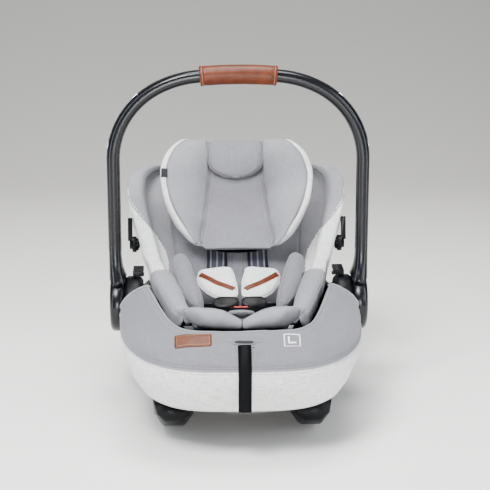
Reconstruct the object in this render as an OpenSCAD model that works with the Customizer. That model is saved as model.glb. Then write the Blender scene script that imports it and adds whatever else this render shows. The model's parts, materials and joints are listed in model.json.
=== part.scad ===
// Rear-facing infant carrier: a rocker-bottomed tub, a seat that reclines in
// it, a sliding headrest and a swinging carry handle. Millimetres, +Z up,
// foot end towards -Y, origin on the floor at the centre of the footprint.

/* [Overall] */
// Half of the width over the handle arms
half_w = 220; // [215:1:230]
// Height of the handle pivot above the floor
pivot_z = 166; // [164:1:168]

/* [Tub] */
// Height of the tub's flat underside
keel_z = 34; // [30:1:38]
// Number of points round each tub outline
tub_n = 48; // [40:8:64]
// Fullness of the foot end's outline, 2 is an ellipse
front_p = 3.4; // [3:0.1:3.8]
// Fullness of the head end's outline
rear_p = 2.1; // [2:0.1:2.4]

/* [Handle] */
// In-plane thickness of the handle tube
bar_w = 21.4; // [20:0.2:22]
// Fore and aft depth of the handle tube
bar_d = 30; // [26:1:32]
// Height where the straight arms end
bend_z = 413.5; // [410:0.5:416]
// Radius of the lower bend
bend_r1 = 137.3; // [136:0.1:138]
// Angle of the lower bend
bend_a1 = 61.3; // [60:0.1:62]
// Radius of the upper bend
bend_r2 = 177.3; // [176:0.1:178]
// Angle where the upper bend meets the crown
bend_a2 = 85; // [84.5:0.1:85.5]
// Radius of the grip sleeve
grip_r = 16.5; // [16:0.5:18]
// Half length of the grip sleeve
grip_l = 64; // [60:1:75]

/* [Hubs] */
// Radius of the hub discs
hub_r = 48; // [46:1:49]
// Radius of the axle stubs the handle turns on
axle_r = 12; // [10:0.5:14]
// Radius of the seat's pivot pins
pin_r = 8; // [6:0.5:9]
// Radial running clearance of every shaft
run = 0.05; // [0.03:0.01:0.08]

/* [Seat] */
// Angle of the seat back above the floor, raised
back_a = 42; // [41:0.5:43]

/* [Hidden] */
graphite = "#1b1d20";
fabric = "#bcbcc0";
melange = "#ecedea";
tan = "#a15c3c";
steel = "#b9bcc0";
webbing = "#4a4a54";

// ---- general shape helpers -------------------------------------------
function spow(v, p) = (v < 0 ? -1 : 1) * pow(abs(v), p);
function mix(a, b, t) = a + (b - a) * t;
function unit(v) = v / norm(v);
function revd(v) = [for (i = [len(v) - 1 : -1 : 0]) v[i]];
function total(v) = v * [for (i = v) 1];
// Point on a superellipse of half axes a, b and fullness p
function sup(a, b, p, t) = [a * spow(cos(t), 2 / p), b * spow(sin(t), 2 / p)];
// Closed ring round centre c in the plane of the unit vectors e and f
function ring(c, e, f, a, b, p = 2, n = 16) = [for (i = [0 : n - 1]) let (q = sup(a, b, p, i * 360 / n)) c + e * q.x + f * q.y];
function vol6(p, f) = total([for (t = f) p[t[0]] * cross(p[t[1]], p[t[2]])]);

// Skin over a list of rings; loop joins the last ring to the first, and
// channel closes the ends of a C-shaped section with a strip
module loft(r, loop = false, channel = false) {
  m = len(r);
  n = len(r[0]);
  sides = [for (i = [0 : m - (loop ? 1 : 2)], j = [0 : n - 1])
    let (k = (i + 1) % m, a = i * n + j, b = i * n + (j + 1) % n, c = k * n + (j + 1) % n, d = k * n + j)
    each [[a, b, c], [a, c, d]]];
  z = (m - 1) * n;
  caps = loop ? [] : channel ? [for (j = [0 : n / 2 - 2]) each [[j + 1, j, n - 1 - j], [n - 2 - j, j + 1, n - 1 - j], [z + j, z + j + 1, z + n - 1 - j], [z + j + 1, z + n - 2 - j, z + n - 1 - j]]]
    : [[for (j = [n - 1 : -1 : 0]) j], [for (j = [0 : n - 1]) z + j]];
  pts = [for (a = r) each a];
  f = concat(sides, caps);
  tri = concat(sides, loop ? [] : [for (c = caps, j = [1 : n - 2]) [c[0], c[j], c[j + 1]]]);
  polyhedron(points = pts, faces = vol6(pts, tri) > 0 ? [for (t = f) revd(t)] : f, convexity = 12);
}
module both() { children(); mirror([1, 0, 0]) children(); }
// Cylinder along X from x0 to x1, through the pivot line
module xcyl(x0, x1, r, y = 0, z = pivot_z, fn = 64) translate([x0, y, z]) rotate([0, 90, 0]) cylinder(h = x1 - x0, r = r, $fn = fn);
// Solid of revolution about the pivot line; profile is [radius, x] pairs
module xturn(p, fn = 96) translate([0, 0, pivot_z]) rotate([90, 0, 90]) rotate_extrude($fn = fn) polygon(p);

// ---- tub ---------------------------------------------------------------
// Height of the tub's rim at each place along it
function rim(y) = lookup(y, [[-320, 190], [-250, 197], [-180, 199], [-120, 202], [-80, 206], [-40, 208], [0, 206], [40, 200], [80, 185], [120, 178], [220, 180], [320, 204]]);
// Point in direction t of a level [half width, front, rear, height fraction, k];
// k goes from 0, the full outer outline, to 1, the tapered mouth of the tub
function tub_pt(l, t) = let (k = l[4] == undef ? 0 : l[4], c = cos(t), s = sin(t), b = s < 0 ? l[1] : l[2], p = s < 0 ? mix(front_p, 8, k) : rear_p,
    r = pow(pow(abs(c) / l[0], p) + pow(abs(s) / b, p), -1 / p), y = r * s)
  [r * c * (1 - .42 * k * (s < 0 ? -y / b : 0)), y, mix(keel_z, rim(y), l[3])];
function tub_ring(l, n = tub_n) = [for (i = [0 : n - 1]) tub_pt(l, i * 360 / n)];
tub_out = [[105, 148, 185, 0], [136, 190, 232, .075], [154, 240, 274, .18], [166, 279, 290, .25], [179, 297, 308, .4], [188, 308, 317, .56],
  [191.5, 311.5, 320, .68], [191.5, 311, 319, .76], [188, 303, 315, .825, .1], [180, 289, 308, .885, .38], [170, 272, 300, .92, .72], [164, 261, 294, .925, .9]];
tub_in = [[161.5, 258, 292, .9, .93], [168, 269, 298, .89, .74], [177, 286, 305, .855, .4], [184.5, 299, 311, .8, .12], [187.5, 307, 315, .75], [187.5, 307.5, 316, .68],
  [184, 304, 312, .56], [175, 293, 303, .4], [161.5, 274, 286, .267], [149.5, 234, 269, .205], [132, 185, 227, .108], [103, 145, 182, .035]];
module tub_solid(g) loft([for (l = tub_out) tub_ring([l[0] + g, l[1] + g, l[2] + g, l[3] - g / 150, l[4]])]);
module hub_cut(r) { xcyl(150, 240, r); xcyl(-240, -150, r); }

module carrier_shell() color(graphite) difference() {
  loft(concat([for (l = tub_out) tub_ring(l)], [for (l = tub_in) tub_ring(l)]));
  hub_cut(46.4);
  // window for the release lever
  translate([-46, 290, 118]) cube([92, 60, 36]);
  // pocket for the harness adjuster
  translate([-16.4, -290.4, 150]) cube([32.8, 18.8, 60]);
  // vent slots in the floor
  for (y = [-120, -90, 90, 120]) translate([-30, y - 4, 20]) cube([60, 8, 30]);
}

// Side pieces between the tub and the handle: boss, axle stub and pin socket
module hub_mount() difference() {
  xturn([[0, 163], [40, 163], [44, 166], [46, 172], [46, 188], [42, 193.4], [axle_r, 193.4], [axle_r, 205], [axle_r - 1.5, 206.5], [0, 206.5]]);
  xcyl(160, 178, pin_r + run);
}
module hub_mount_right() color(graphite) hub_mount();
module hub_mount_left() color(graphite) mirror([1, 0, 0]) hub_mount();

// Fabric skirts: a profile of levels run round the foot end, hub to hub
skirt_n = 44;
function skirt(prof) = [for (i = [0 : skirt_n]) [for (l = prof) tub_pt(l, mix(194.2, 345.8, i / skirt_n))]];
module side_cover_upper() color(fabric) difference() {
  loft(skirt([[200, 319.8, 320, .765], [198.4, 314, 320, .83], [192.5, 301, 320, .893, .15], [182, 283, 320, .95, .45], [170, 267, 320, .988, .78], [162, 256, 320, .995, .95], [158, 250, 320, .965, 1],
    [160, 252.6, 320, .9, 1], [160.6, 254.4, 320, .925, 1], [163.4, 259, 320, .94, .92], [170.4, 272.5, 320, .934, .73], [180.6, 290, 320, .9, .38], [189, 304, 320, .838, .1], [192.3, 311.8, 320, .765]]), channel = true);
  translate([-16.6, -291.6, 150]) cube([33.2, 20.2, 60]);
}
module side_cover_lower() color(melange) loft(skirt([[172, 286, 320, .25], [186, 305, 320, .4], [195.5, 316, 320, .56], [199.5, 319.8, 320, .68], [200, 320, 320, .758],
    [192.3, 312, 320, .758], [192.3, 312.3, 320, .68], [188.8, 308.8, 320, .56], [179.8, 297.8, 320, .4], [166.8, 279.8, 320, .25]]), channel = true);

// Rocker rails: flat in the middle, curved up at both ends
function rail_z(y) = let (a = abs(y)) a < 125 ? 1.2 : 1.2 + pow((a - 125) / 115, 2) * 44;
module rail() difference() {
  loft([for (y = [-238, -225, -207, -186, -165, -145, -125, 0, 125, 145, 165, 186, 207, 225, 238])
    let (k = 1 - pow(abs(y) / 250, 6) * .35, z = rail_z(y), t = 70)
    [[112 - 38 * k, y, t], [112 - 34 * k, y, mix(z, t, .35)], [112 - 21 * k, y, z + 3], [112 - 17 * k, y, z], [112 + 15 * k, y, z], [112 + 19 * k, y, z + 3],
     [112 + 32 * k, y, mix(z, t, .4)], [112 + 36 * k, y, t]]]);
  tub_solid(1);
  for (y = [-70, 70]) translate([96, y - 16, 0]) cube([32, 32, 3.4]);
  for (y = [-60, 60]) xcyl(60, 98, 6.3, y, 22);
}
module rocker_rail_right() color(graphite) rail();
module rocker_rail_left() color(graphite) mirror([1, 0, 0]) rail();
module foot_pads() color("#2b2d30") for (x = [-112, 112], y = [-70, 70]) translate([x, y, 0]) {
  translate([-15.5, -15.5, 0]) cube([31, 31, 3.2]);
}
// Steel bars under the tub that a car base latches on to
module latch_bars() color(steel) for (y = [-60, 60]) xcyl(-97.5, 97.5, 6, y, 22);

// Hooks on the hub tops that hold the lap part of the car's belt
module belt_guide() translate([171, 6, 205.5]) difference() {
  union() {
    translate([-9, -14, 0]) cube([18, 40, 5]);
    translate([3, -14, 4]) cube([6, 40, 11]);
    translate([-9, -14, 12]) cube([18, 40, 5]);
    for (y = [-14, -6, 2, 10, 18]) translate([-8, y + 2, 16]) cube([16, 3, 2]);
  }
  translate([-20, -30, -10]) cube([40, 16, 40]);
}
module guide_cut() difference() { belt_guide(); xcyl(150, 200, 46.4); }
module belt_guide_right() color(graphite) guide_cut();
module belt_guide_left() color(graphite) mirror([1, 0, 0]) guide_cut();

// Harness adjuster under the foot-end rim, and its push button
module adjuster_housing() color(graphite) translate([0, -281, 0]) difference() {
  translate([-16, -9, 161]) cube([32, 18, 21]);
  translate([-12, -11, 173.4]) cube([24, 14, 12]);
  translate([-8, 3.6, 165]) cube([16, 4.6, 20]);
}
module adjuster_button() color("#2e3034") translate([-7.6, -277, 172]) cube([15.2, 3.8, 13]);
// Free tail of the adjuster webbing: out of the slot, over the rim, and down
tail = [[-282, 176], [-285.4, 179], [-288.4, 183.4], [-292, 185.8], [-297, 183.4], [-302.4, 179.6], [-308, 174.6], [-313.4, 169], [-318.4, 162], [-321.6, 155], [-322.6, 147], [-322.9, 138], [-322.9, 127], [-322.9, 116], [-322.9, 105], [-322.9, 96], [-322.9, 88]];
module adjuster_strap() color(graphite) loft([for (i = [0 : len(tail) - 1])
  let (a = tail[max(i - 1, 0)], b = tail[min(i + 1, len(tail) - 1)], d = unit(b - a), nrm = [0, d.y, -d.x])
  ring([0, tail[i].x, tail[i].y], [1, 0, 0], nrm, 10.2, 0.9, 6, 8)]);
// Stitched leather label on the foot-end cover, a slab laid on its slope
module leather_label() color(tan) difference() {
  intersection() {
    translate([-108, -290, 150]) cube([57, 25, 60]);
    cover_solid(2.2);
  }
  cover_solid(.62);
}
// Solid bounded by the foot-end cover's outer face, g proud of it
module cover_solid(g) loft([for (q = [[200, 320, .5], [200, 319.8, .765], [198.4, 314, .83], [192.5, 301, .893, .15], [182, 283, .95, .45], [170, 267, .988, .78], [162, 256, .995, .95]])
  [for (i = [0 : 63]) tub_pt([q[0] + g * .8, q[1] + g * .7, 300, q[2], q[3]], i * 360 / 64) + [0, 0, g * .7]]]);
module release_lever() color("#26282c") translate([0, 300, 122]) difference() {
  translate([-43, -6, 0]) cube([86, 22, 15]);
  translate([-36, 4, -1]) cube([72, 8, 12]);
}

// ---- handle ------------------------------------------------------------
arm_x = half_w - bar_w / 2;
c1 = [arm_x - bend_r1, bend_z];
c2 = c1 + [cos(bend_a1), sin(bend_a1)] * (bend_r1 - bend_r2);
bend_r3 = bend_r2 + c2.x / cos(bend_a2);
c3 = [0, c2.y + sin(bend_a2) * (bend_r2 - bend_r3)];
// Stations [x, z, outward angle] up the right arm to the crown
function arc(c, r, a0, a1, n) = [for (i = [1 : n]) let (a = mix(a0, a1, i / n)) [c.x + r * cos(a), c.y + r * sin(a), a]];
right_half = concat([for (z = [190, 212, 222, 232, 244, 258, 280, 320, 370, bend_z]) [arm_x, z, 0]],
  arc(c1, bend_r1, 0, bend_a1, 12), arc(c2, bend_r2, bend_a1, bend_a2, 5), arc(c3, bend_r3, bend_a2, 90, 4));
handle_path = concat(right_half, [for (i = [len(right_half) - 2 : -1 : 0]) let (s = right_half[i]) [-s[0], s[1], 180 - s[2]]]);
// How far the arm spreads inwards and fore-aft where it joins its hub
function flare_in(z) = lookup(z, [[212, 9], [222, 5], [232, 2.4], [244, .8], [258, 0]]);
function flare_y(z) = lookup(z, [[190, 36], [212, 31], [222, 25.5], [232, 21.5], [244, 18.6], [258, 16.8], [280, 15.6], [320, bar_d / 2], [bend_z, bar_d / 2], [540, bar_d / 2 - 2]]);
function bar_ring(s, g = 0, n = 16) = let (o = [cos(s[2]), 0, sin(s[2])], f = flare_in(s[1]) / 2, c = [s[0], 0, s[1]] - o * f)
  ring(c, o, [0, 1, 0], bar_w / 2 + f + g, flare_y(s[1]) + g, 2.7, n);
module handle_bar() color(graphite) difference() {
  loft([for (s = handle_path) bar_ring(s)]);
  hub_cut(hub_r + .3);
}
// Sleeve round the crown
crown_a = asin(grip_l / bend_r3);
module handle_grip() color(tan) {
  st = [for (i = [-8 : 8]) let (a = 90 - crown_a * i / 8) [bend_r3 * cos(a), c3.y + bend_r3 * sin(a), a]];
  o = [for (i = [0 : 16]) let (s = st[i], v = [cos(s[2]), 0, sin(s[2])]) ring([s[0], 0, s[1]], v, [0, 1, 0], i == 0 || i == 16 ? grip_r - 1.4 : grip_r, i == 0 || i == 16 ? grip_r - 1.4 : grip_r, 2.1, 20)];
  n = [for (i = [16 : -1 : 0]) let (s = st[i], v = [cos(s[2]), 0, sin(s[2])]) ring([s[0], 0, s[1]], v, [0, 1, 0], bar_w / 2 + .3, bar_d / 2 - 1.7, 2.7, 20)];
  loft(concat(o, n), loop = true);
}
// Bright strips on the outside of the bends
module trim() loft([for (i = [0 : 10]) let (a = mix(9, 50, i / 10), q = c1 + [cos(a), sin(a)] * bend_r1, w = i == 0 || i == 10 ? 2.5 : 5.6,
    v = [cos(a), 0, sin(a)], p = [q.x, 0, q.y] + v * (bar_w / 2 - .2))
    [p + [0, -w, 0] + v * .3, p + [0, w, 0] + v * .3, p + [0, w * .8, 0] + v * 1.2, p + [0, -w * .8, 0] + v * 1.2]]);
module trim_clear() difference() { trim(); loft([for (s = handle_path) bar_ring(s, .05)]); }
module handle_trim_right() color("silver") trim_clear();
module handle_trim_left() color("silver") mirror([1, 0, 0]) trim_clear();
// Hub housing with a pocket for the lock gear, open to the outside
module hub() difference() {
  xturn([[0, 194.2], [hub_r - 4, 194.2], [hub_r, 198], [hub_r, 213], [hub_r - 3, 217], [hub_r - 8, 218.6], [0, 218.6]]);
  xcyl(190, 230, axle_r + run);
  xcyl(199, 215, 33.4);
  xcyl(210, 230, 16.4);
}
module handle_hub_right() color(graphite) hub();
module handle_hub_left() color(graphite) mirror([1, 0, 0]) hub();
module hub_button() xturn([[0, 211], [22, 211], [22, 214.4], [16, 214.4], [16, 218.8], [14.6, 220], [0, 220]]);
module handle_button_right() color("#33363b") hub_button();
module handle_button_left() color("#33363b") mirror([1, 0, 0]) hub_button();
// Toothed lock disc that the button pushes inwards
module gear() difference() {
  union() {
    xcyl(204.6, 210.9, 28);
    for (a = [0 : 30 : 330]) translate([204.6, 0, pivot_z]) rotate([a, 0, 0]) translate([0, -3, 26]) cube([6.3, 6, 6.4]);
  }
  xcyl(200, 212, axle_r + .6);
}
module lock_gear_right() color(steel) gear();
module lock_gear_left() color(steel) mirror([1, 0, 0]) gear();
// Return springs round the axles, drawn as plain sleeves
module spring() difference() { xcyl(199.2, 204.4, 22); xcyl(198, 206, 18.5); }
module button_springs() color(steel) both() spring();

// ---- seat --------------------------------------------------------------
// Frame on the back: u runs up the back, w out of it towards the child
bd = [cos(back_a), sin(back_a)];
function S(x, u, w) = [x, 40 + bd.x * u - bd.y * w, 247 + bd.y * u + bd.x * w];
// Stations: [base y, base z, rim y, rim z, half width, fullness]
function back_st(u, w, a, p) = let (b = S(0, u, -95), r = S(0, u, w)) [b.y, b.z, r.y, r.z, a, p];
pan = [[-207, 168, -206, 177, 80, 2.4], [-188, 152, -183, 187, 94, 2.6], [-150, 130, -146, 197, 110, 2.8], [-100, 108, -104, 202, 122, 3],
  [-50, 97, -64, 206, 132, 3.1], [-2, 96, -26, 210, 142, 3.2], [36, 114, 10, 216, 150, 3.2], [72, 148, 38, 224, 156, 3.1]];
back = [back_st(0, -22, 162, 3), back_st(30, -10, 171, 2.9), back_st(60, 2, 180, 2.8), back_st(90, 10, 187, 2.7), back_st(120, 14, 191, 2.6), back_st(150, 8, 190, 2.5),
  back_st(178, -8, 181, 2.4), back_st(200, -28, 167, 2.4), back_st(218, -54, 146, 2.4)];
all_st = concat(pan, back);
// Point at angle t on the section of station s, inset by o, ending r below its rim
function sp(s, t, o, r) = let (b = [s[0], s[1]], e = [s[2], s[3]] - b, h = norm(e), v = e / h, q = sup(1, 1, s[5], t), d = o + (h - r - o) * (1 - abs(q.y)))
  [(s[4] - o) * q.x, b.x + v.x * d, b.y + v.y * d];
shell_n = 18;
module seat_shell() color("#222427") loft([for (i = [1 : len(all_st) - 1]) let (s = all_st[i], r = min(14, norm([s[2] - s[0], s[3] - s[1]]) * .3)) concat(
    [for (k = [0 : shell_n]) sp(s, k * 180 / shell_n, 12, r)],
    [for (k = [shell_n : -1 : 0]) sp(s, k * 180 / shell_n, 16, r + .4)])], channel = true);
// Flanged pins riveted to the outside of the seat shell
module recline_pins() color(graphite) both() xturn([[0, 136.2], [12, 136.2], [12, 139.4], [pin_r, 140.2], [pin_r, 176], [pin_r - 1, 177], [0, 177]], 64);
// Energy-absorbing foam behind the back pad and under the seat pad
module foam_liners() color("#dfe3e6") { loft([for (i = [0 : 7]) [for (k = [5 : 13]) sp(back[i], k * 10, 17, 14)]]);
  loft([for (i = [2 : 5]) let (s = all_st[i]) concat([for (k = [5 : 13]) sp(s, k * 10, 16.8, 14)])]);
}
// Padded wing skins: outside cover rolled over the edge, and inner lining
wing_st = concat([pan[6] + (pan[7] - pan[6]) * .16], [pan[7]], back);
function wing_prof(s) = concat([for (k = [5 : -1 : 0]) sp(s, k * 10, 0, 0)], [sp(s, 0, 10, -4.5), sp(s, 0, 27, -2), sp(s, 0, 29, 8), sp(s, 0, 27, 12.8), sp(s, 0, 10.8, 12.8)], [for (k = [1 : 5]) sp(s, k * 10, 10.8, 13)]);
module wing_cover() loft([for (s = wing_st) wing_prof(s)]);
module wing_cover_right() color(melange) wing_cover();
module wing_cover_left() color(melange) mirror([1, 0, 0]) wing_cover();
module wing_liner() loft([for (s = wing_st) concat([for (k = [0 : 5]) sp(s, k * 10, 18.2, 15.4)], [for (k = [5 : -1 : 0]) sp(s, k * 10, 27, 16)])], channel = true);
module wing_liner_right() color(fabric) wing_liner();
module wing_liner_left() color(fabric) mirror([1, 0, 0]) wing_liner();
// Padded rolls over the rim of the pan, from the wings to the front lip
module side_roll() loft([for (i = [2 : 6]) let (s = all_st[i], f = 28)
  [sp(s, 0, 0, f), sp(s, 0, 0, 6), sp(s, 0, 7, -3), sp(s, 0, 18, -5), sp(s, 0, 27, 3), sp(s, 0, 30, 15), sp(s, 0, 25, 23), sp(s, 0, 19.5, 23), sp(s, 0, 19.5, 11), sp(s, 0, 10.4, 11), sp(s, 0, 10.4, f)]]);
module side_roll_right() color("#cfcfd3") side_roll();
module side_roll_left() color("#cfcfd3") mirror([1, 0, 0]) side_roll();
// Upholstery on the back and the base
module back_pad() color(fabric) loft([for (u = [-92, -84, -40, 20, 80, 140, 190, 204, 210]) ring(S(0, u, -49.5), [1, 0, 0], S(0, 0, 1) - S(0, 0, 0),
  lookup(u, [[-92, 80], [-84, 86], [0, 106], [120, 120], [190, 108], [204, 96], [210, 88]]), lookup(u, [[-92, 6], [-84, 9.5], [204, 9.5], [210, 6]]), 4.5, 16)]);
module seat_pad() color(fabric) loft([for (q = [[-18, 140, 70], [-28, 139, 78], [-70, 148, 80], [-120, 161, 79], [-148, 169, 75], [-164, 174, 70], [-170, 176, 62]])
  ring([0, q[0], q[1]], [1, 0, 0], unit([0, -.3, 1]), q[2], q[0] == -18 || q[0] == -170 ? 5 : 9, 4, 16)]);
// Newborn insert: a side bolster each side of the child and the two front rolls
module side_insert() loft([for (q = [[99, 24, 236, 5, 5], [98, 18, 232, 12, 15], [94, 2, 222, 15, 25], [88, -20, 209, 16, 30], [81, -50, 197, 16, 28], [74, -80, 189, 13, 22], [70, -100, 186, 5, 9]])
  ring([q[0], q[1], q[2]], unit([.94, 0, -.34]), unit([.34, .45, .94]), q[3], q[4], 2.2, 14)]);
module side_insert_right() color(fabric) side_insert();
module side_insert_left() color(fabric) mirror([1, 0, 0]) side_insert();
module front_bolster() loft([for (q = [[1.5, -195, 188, 8, 6], [10, -195, 190, 12, 9], [32, -194, 195.5, 16, 14], [58, -189, 197.5, 17, 15.5], [78, -181, 197.5, 14, 14], [91, -171, 197, 7, 8]])
  ring([q[0], q[1], q[2]], unit([q[0] > 70 ? .45 : 0, 1, .25]), [0, -.24, .97], q[3], q[4], 2.2, 14)]);
module front_bolster_right() color(fabric) front_bolster();
module front_bolster_left() color(fabric) mirror([1, 0, 0]) front_bolster();

// ---- harness -----------------------------------------------------------
// Flat band of width 2a through [x, y, z] points
module band(p, a, h = 1) loft([for (i = [0 : len(p) - 1]) let (d = unit(p[min(i + 1, len(p) - 1)] - p[max(i - 1, 0)]), e = unit(cross(d, cross([1, 0, 0], d))), f = cross(d, e)) ring(p[i], e, f, a, h, 6, 8)]);
strap_path = [S(35, 118, -37), S(35, 60, -37), S(35.5, 0, -36.8), S(36.5, -16, -36.2), S(38, -30, -33.6)];
module shoulder_strap_right() color(webbing) band(strap_path, 17.5);
module shoulder_strap_left() color(webbing) mirror([1, 0, 0]) band(strap_path, 17.5);
pad_path = [[[40, 11, 220], 22, 3], [[40, 5, 220], 28, 6], [[39.5, -12, 214], 31.5, 7.5], [[36, -32, 207], 31, 7.5], [[30, -50, 200], 26, 7], [[24, -62, 196], 20, 5], [[19, -69, 194], 13, 2.5]];
module shoulder_pad() loft([for (q = pad_path) ring(q[0], unit([.97, .12, -.14]), unit([.1, -.34, .94]), q[1], q[2], 2.6, 16)]);
module shoulder_pad_right() color(melange) shoulder_pad();
module shoulder_pad_left() color(melange) mirror([1, 0, 0]) shoulder_pad();
// Webbing from each tongue round to the side of the seat
module lap_straps() color(webbing) both() band([[47.4, -83.2, 188.8], [50.6, -78, 187], [52, -71, 184], [53, -63, 180], [53, -56, 175]], 8);
module buckle_tongues() color("#17181a") both() loft([for (q = [[3, -86, 191, 6], [10, -87, 191.5, 10], [24, -87, 191, 12], [36, -85, 190, 11.5], [43, -84, 189.4, 7]])
  ring([q[0], q[1], q[2]], unit([0, .8, .6]), unit([.05, -.6, .8]), q[3], 3.4, 3, 12)]);
module buckle_body() color("#17181a") difference() {
  translate([0, -108, 183]) rotate([-14, 0, 0]) linear_extrude(13, center = true) polygon([[-15, 9], [15, 9], [21, 2], [18, -16], [-18, -16], [-21, 2]]);
  translate([0, -111, 187]) rotate([-14, 0, 0]) cube([22.6, 12.6, 16], center = true);
}
module buckle_button() color("#d8342e") translate([0, -111, 187]) rotate([-14, 0, 0]) translate([-11, -6, -3.4]) cube([22, 12, 8]);
module crotch_pad() color(fabric) loft([for (q = [[-129, 184, 13, 4], [-132, 185.5, 19, 6.5], [-140, 188, 22, 8], [-152, 191.5, 21, 8], [-163, 196, 16, 6], [-168, 198, 9, 3]])
  ring([0, q[0], q[1]], [1, 0, 0], unit([0, -.3, 1]), q[2], q[3], 2.4, 14)]);
// Metal yoke behind the back, where the shoulder webbing meets the adjuster
module harness_yoke() color(steel) translate(S(0, -34, -62.6)) rotate([back_a, 0, 0]) translate([-36, -12, -.4]) difference() { cube([72, 24, 1.8]); for (x = [5, 41]) translate([x, 5, -1]) cube([26, 4, 4]); translate([23, 15, -1]) cube([26, 4, 4]); }
module recline_lever() color("#2e3034") translate(S(0, 150, -92.5)) rotate([back_a, 0, 0]) difference() { translate([-38, -9, -4]) cube([76, 18, 12.6]); translate([-30, -4, -5]) cube([60, 8, 7]); }

// Brackets that a sun canopy's bows plug into, turning on the wings
chy = 84;
chz = 247;
module canopy_hinge() {
  xcyl(176, 183.4, 14, chy, chz, 48);
  xcyl(183.4, 188, 8.5, chy, chz, 48);
  translate([183.2, chy + 1, chz + 2]) rotate([-12, 0, 0]) difference() {
    translate([0, -8, 4]) cube([7.6, 16, 40]);
    translate([5, -5.5, 14]) cube([4, 11, 24]);
  }
}
module canopy_hinge_right() color(graphite) canopy_hinge();
module canopy_hinge_left() color(graphite) mirror([1, 0, 0]) canopy_hinge();

// ---- headrest ----------------------------------------------------------
// Stations: [u, half width, depth of the side bolsters in front of w = 0]
hw = [[14, 58, 2], [22, 80, 14], [44, 104, 30], [70, 120, 40], [104, 131, 44], [140, 133, 42], [176, 124, 34], [206, 108, 22], [226, 92, 8], [234, 78, 0]];
hn = S(0, 0, 1) - S(0, 0, 0);
// Point on a headrest section: w from the floor w0 to the rim of station h
function hp(h, t, o, w0, p = 2.6) = let (q = sup(1, 1, p, t)) S((h[1] - o) * q.x, h[0], mix(h[2] - 2, w0, abs(q.y)));
module headrest_shell() color("#222427") union() {
  loft([for (h = hw) concat([for (k = [0 : 16]) hp([h[0], h[1], h[2] + 3], mix(5, 175, k / 16), 6.4, -30.8)], [for (k = [16 : -1 : 0]) hp([h[0], h[1], h[2] + 3], mix(5, 175, k / 16), 9, -28.2)])], channel = true);
}
module headrest_border() color(melange) loft([for (h = concat([[32, 91, 21]], [for (i = [2 : 9]) hw[i]])) concat([for (k = [0 : 16]) hp([h[0], h[1], h[2] + 3], k * 180 / 16, 0, -34.6)], [for (k = [16 : -1 : 0]) hp([h[0], h[1], h[2] + 3], k * 180 / 16, 5, -32.4)])], channel = true);
module headrest_pad() color(fabric) loft([for (h = hw) concat([for (k = [0 : 16]) hp([h[0], h[1], h[2] + 3], k * 180 / 16, 10, -27)], [for (k = [16 : -1 : 0]) hp([h[0], h[1], h[2] + 3], k * 180 / 16, 34, -8)])], channel = true);
module headrest_pillow() color("#c8c8cc") loft([for (q = [[158, 10, 3], [163, 24, 6], [172, 36, 8], [184, 42, 8.4], [206, 43, 8], [224, 43, 6.6], [232, 40, 4]]) ring(S(0, q[0], 1.6), [1, 0, 0], hn, q[1], q[2], 2.8, 16)]);
module headrest_lever() color("#2e3034") translate(S(0, 224, -42)) rotate([back_a, 0, 0]) translate([-24, -8, -6]) cube([48, 16, 12.6]);

carrier_shell();
hub_mount_left();
hub_mount_right();
side_cover_upper();
side_cover_lower();
rocker_rail_left();
rocker_rail_right();
foot_pads();
latch_bars();
belt_guide_left();
belt_guide_right();
adjuster_housing();
adjuster_button();
adjuster_strap();
leather_label();
release_lever();
handle_bar();
handle_grip();
handle_trim_left();
handle_trim_right();
handle_hub_left();
handle_hub_right();
handle_button_left();
handle_button_right();
lock_gear_left();
lock_gear_right();
button_springs();
seat_shell();
recline_pins();
foam_liners();
wing_cover_left();
wing_cover_right();
wing_liner_left();
wing_liner_right();
side_roll_left();
side_roll_right();
back_pad();
seat_pad();
side_insert_left();
side_insert_right();
front_bolster_left();
front_bolster_right();
shoulder_strap_left();
shoulder_strap_right();
shoulder_pad_left();
shoulder_pad_right();
lap_straps();
buckle_tongues();
buckle_body();
buckle_button();
crotch_pad();
harness_yoke();
recline_lever();
canopy_hinge_left();
canopy_hinge_right();
headrest_shell();
headrest_border();
headrest_pad();
headrest_pillow();
headrest_lever();
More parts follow.
